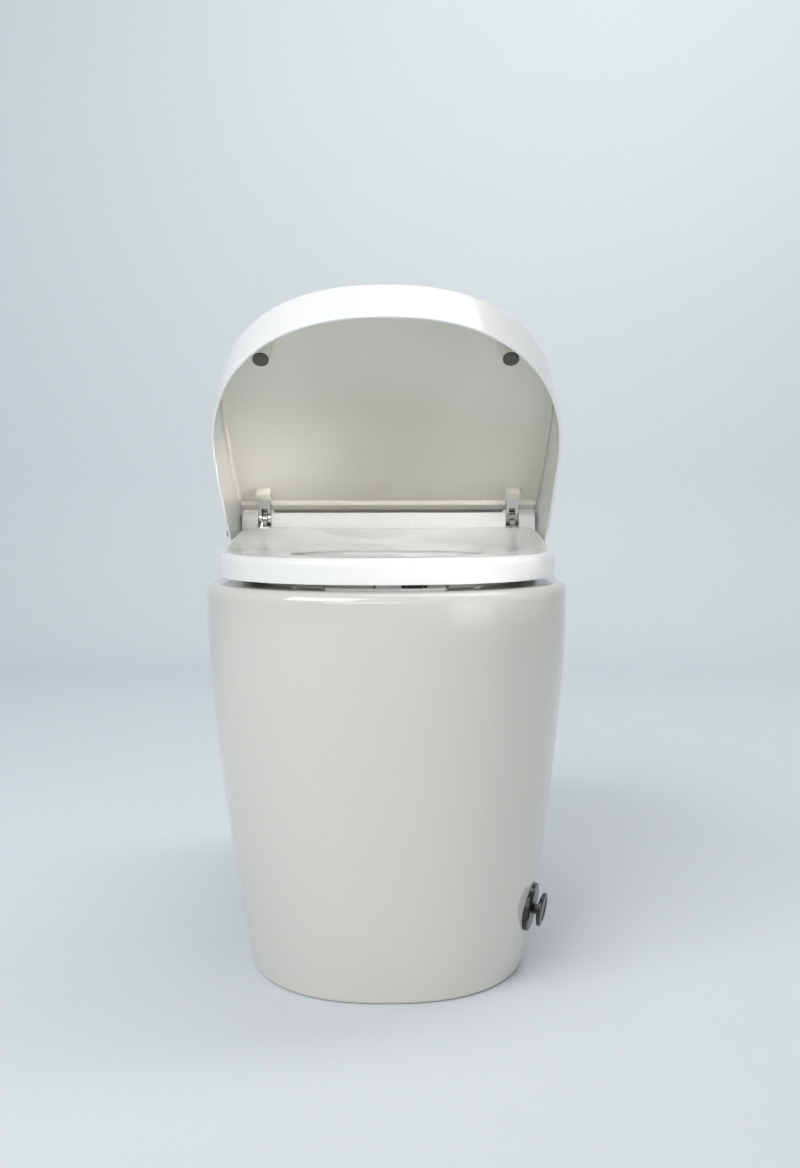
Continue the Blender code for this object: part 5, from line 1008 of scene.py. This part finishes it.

# Side knob
# A small black dial on the left of the housing, with a cap that turns and can be pushed.
BEZEL_EASE, CAP_EASE = 0.0006, 0.0003
bezel, cap = softened("knob_bezel", BEZEL_EASE), softened("knob_cap", CAP_EASE, 2)
fit(bezel, "dial_ring", black_resin, "toilet", "black_plastic", "knob_bezel")
fit(cap, "dial_cap", black_resin, "knob", "black_plastic", "knob_cap")
dress("knob_stem", white_resin)

# Foot button
# A glossy black kick button: a flange bedded in the glaze, and a disc on a sprung neck. DISC_HEEL gives
# heights and insets of the disc's back edge, DISC_DISH drops and shares of its radius.
FLANGE_THICK = 0.004
FLANGE_CROWN_SHARE, FLANGE_CROWN_START, FLANGE_CROWN_STEPS = 0.4, 20.0, 7
FLANGE_EASE, FLANGE_EASE_DEPTH = 0.0003, 0.0006
DISC_RADIUS, DISC_THICK = 0.018, 0.004
DISC_HEEL = ((0.0, 0.0008), (0.0003, 0.0002), (0.0008, 0.0))
DISC_WALL_SHARE, DISC_ROUND, DISC_ROUND_START, DISC_ROUND_STEPS = 0.55, 0.002, 15.0, 6
DISC_DISH = ((0.0, 0.72), (0.0008, 0.66), (0.0012, 0.3))
BUTTON_SIDES = 96
BUTTON_NECK_RADIUS = 0.012
STANDOFF, TRAVEL = 0.007, 0.005
BUTTON_STEM_RADIUS, BUTTON_STEM = 0.004, 0.028
BUSH_LENGTH = 0.020
SPRING_ROOM, SPRING_DEPTH = 0.0075, 0.015
SWITCH_EASE = 0.0008
foot_base = foot_point - foot_outward * (FLANGE_DEPTH - CLEAR)
foot_lip = FLANGE_DEPTH + FLANGE_THICK


def foot_flange():
    """The domed ring in the glaze with its bush, bored for the button's stem and spring."""
    inner = BUTTON_NECK_RADIUS + TRAVEL
    shoulder = foot_lip - FLANGE_THICK * FLANGE_CROWN_SHARE
    run, rise = FLANGE_RADIUS - inner, foot_lip - shoulder
    profile = [(0.0, FLANGE_RADIUS), (shoulder - FLANGE_EASE_DEPTH, FLANGE_RADIUS)]
    profile.append((shoulder, FLANGE_RADIUS - FLANGE_EASE))
    for degrees in spaced(FLANGE_CROWN_START, 90.0, FLANGE_CROWN_STEPS):
        turn = math.radians(degrees)
        profile.append((shoulder + rise * math.sin(turn), inner + run * math.cos(turn)))
    flange = turned("flange", profile, foot_base, foot_outward, BUTTON_SIDES)
    end = foot_base - foot_outward * BUSH_LENGTH
    weld(flange, barrel("bush", BUSH_RADIUS, end, foot_base + foot_outward * foot_lip / 2))
    top = foot_base + foot_outward * (foot_lip + OVERRUN)
    stem_bore = barrel("stem_bore", BUTTON_STEM_RADIUS + CLEAR, end - foot_outward * OVERRUN, top)
    room = barrel("room", SPRING_ROOM, foot_base - foot_outward * SPRING_DEPTH, top)
    return carve(flange, stem_bore, room)


def foot_disc():
    """The pressed disc with its rounded edge and shallow dish, on its neck and stem."""
    back = foot_base + foot_outward * (foot_lip + STANDOFF)
    wall = DISC_THICK * DISC_WALL_SHARE
    profile = [(up, DISC_RADIUS - inset) for up, inset in DISC_HEEL] + [(wall, DISC_RADIUS)]
    for degrees in spaced(DISC_ROUND_START, 90.0, DISC_ROUND_STEPS):
        turn = math.radians(degrees)
        inset = DISC_ROUND * (1 - math.cos(turn))
        profile.append((wall + (DISC_THICK - wall) * math.sin(turn), DISC_RADIUS - inset))
    profile += [(DISC_THICK - drop, DISC_RADIUS * share) for drop, share in DISC_DISH]
    disc = turned("disc", profile, back, foot_outward, BUTTON_SIDES)
    start = foot_base + foot_outward * (foot_lip + TRAVEL + CLEAR)
    end = back + foot_outward * DISC_THICK / 2
    stem = barrel("stem", BUTTON_STEM_RADIUS, back - foot_outward * BUTTON_STEM, end)
    return weld(disc, barrel("neck", BUTTON_NECK_RADIUS, start, end), stem)


fit(foot_flange(), "kick_flange", black_resin, "toilet", "black_plastic", "foot_button_flange")
fit(foot_disc(), "kick_button", black_resin, "button", "black_plastic", "foot_button")
switch = softened("foot_switch", SWITCH_EASE, 2)
fit(switch, "kick_switch", grey_resin, "toilet", "grey_plastic", "foot_switch")
dress("foot_button_spring", pin_steel)

# Room
# A plain pale floor that curves up into a wall, soft lamps, two narrow spotlights, and the camera where the
# photograph was taken from. LAMPS gives each lamp's place, target, size, watts, colour and spread in degrees.
WALL_Y = 2.60
FLOOR_WIDTH = 8.0
FLOOR_FRONT = -4.0
COVE_RADIUS, COVE_STEPS = 0.60, 16
WALL_HEIGHT = 4.2
WALL_COLOUR = (0.70, 0.74, 0.762, 1.0)
PAINT_LIFT = 1.03
WIDE, MIRRORED_SPREAD = 180.0, 90.0
LAMPS = (
    ("ceiling_softbox", (-1.4, -1.9, 2.5), (0.0, 0.0, 0.45), (2.2, 1.6), 54.0, (0.98, 0.99, 1.0), WIDE),
    ("right_window", (2.1, -2.3, 0.5), (0.0, 0.0, 0.5), (1.6, 1.0), 9.0, (1.0, 0.96, 0.90), WIDE),
    ("front_window", (-0.6, -3.1, 1.3), (0.0, 0.0, 0.5), (1.8, 1.0), 13.0, (1.0, 0.985, 0.96), WIDE),
    ("lid_accent", (1.25, -1.3, 0.28), (-0.205, -0.02, 0.53), (0.2, 0.1), 0.042, (1.0, 0.98, 0.93), 5.0),
    ("hinge_accent", (0.0, -2.4, 1.6), (0.0, 0.03, 0.475), (0.34, 0.04), 0.055, (1.0, 1.0, 0.98), 3.5),
    ("wall_wash", (0.9, 0.3, 3.0), (0.4, WALL_Y, 0.9), (2.4, 1.2), 40.0, (1.0, 0.99, 0.97), WIDE),
)
AIR_COLOUR = (0.92, 0.95, 1.0, 1.0)
AIR_STRENGTH = 0.35
LENS_PIXELS = 1150.0
FRAME_LONG = 1168.0
SENSOR = 36.0
CAMERA_PLACE = (0.0145, -1.380, 0.5104)
PITCH_DEGREES = -4.295
ROLL_DEGREES = 0.12


def room_paint(name, colour):
    """Smooth paint with a slight unevenness of tone."""
    finish = Finish(name, roughness=0.75)
    lighter = tuple(min(1.0, value * PAINT_LIFT) for value in colour[:3]) + (1.0,)
    finish.feed("Base Color", finish.blend(finish.noise(scale=1.5), colour, lighter))
    return finish.material


def backdrop():
    cove = arc(COVE_RADIUS, -90.0, 0.0, COVE_STEPS, (WALL_Y - COVE_RADIUS, COVE_RADIUS))
    outline = [(FLOOR_FRONT, 0.0)] + cove + [(WALL_Y, WALL_HEIGHT)]
    points, faces = [], []
    for x in (-FLOOR_WIDTH / 2, FLOOR_WIDTH / 2):
        points += [(x, y, z) for y, z in outline]
    for spot in range(len(outline) - 1):
        faces.append((spot, spot + 1, spot + 1 + len(outline), spot + len(outline)))
    made = solid("backdrop", points, faces)
    made.data.materials.append(room_paint("wall_paint", WALL_COLOUR))
    made.data.shade_smooth()


def lamp(name, place, target, size, power, colour, spread):
    """A soft area lamp. A narrow one isn't mirrored, so it leaves no spot on the glaze."""
    light = bpy.data.lights.new(name, "AREA")
    light.shape = "RECTANGLE"
    light.size, light.size_y = size
    light.energy = power
    light.color = colour
    light.spread = math.radians(spread)
    made = bpy.data.objects.new(name, light)
    made.location = place
    made.rotation_euler = (Vector(target) - Vector(place)).to_track_quat("-Z", "Y").to_euler()
    made.visible_glossy = spread > MIRRORED_SPREAD
    bpy.context.scene.collection.objects.link(made)


backdrop()
for row in LAMPS:
    lamp(*row)
world = bpy.data.worlds.new("room_air")
world.use_nodes = True
air = world.node_tree.nodes["Background"]
air.inputs["Color"].default_value = AIR_COLOUR
air.inputs["Strength"].default_value = AIR_STRENGTH
bpy.context.scene.world = world
bpy.context.scene.view_settings.view_transform = "Standard"

lens = bpy.data.cameras.new("camera")
lens.sensor_width = SENSOR
lens.lens = SENSOR * LENS_PIXELS / FRAME_LONG
camera = bpy.data.objects.new("camera", lens)
camera.location = CAMERA_PLACE
camera.rotation_euler = (math.radians(90.0 + PITCH_DEGREES), math.radians(ROLL_DEGREES), 0.0)
bpy.context.scene.collection.objects.link(camera)
bpy.context.scene.camera = camera
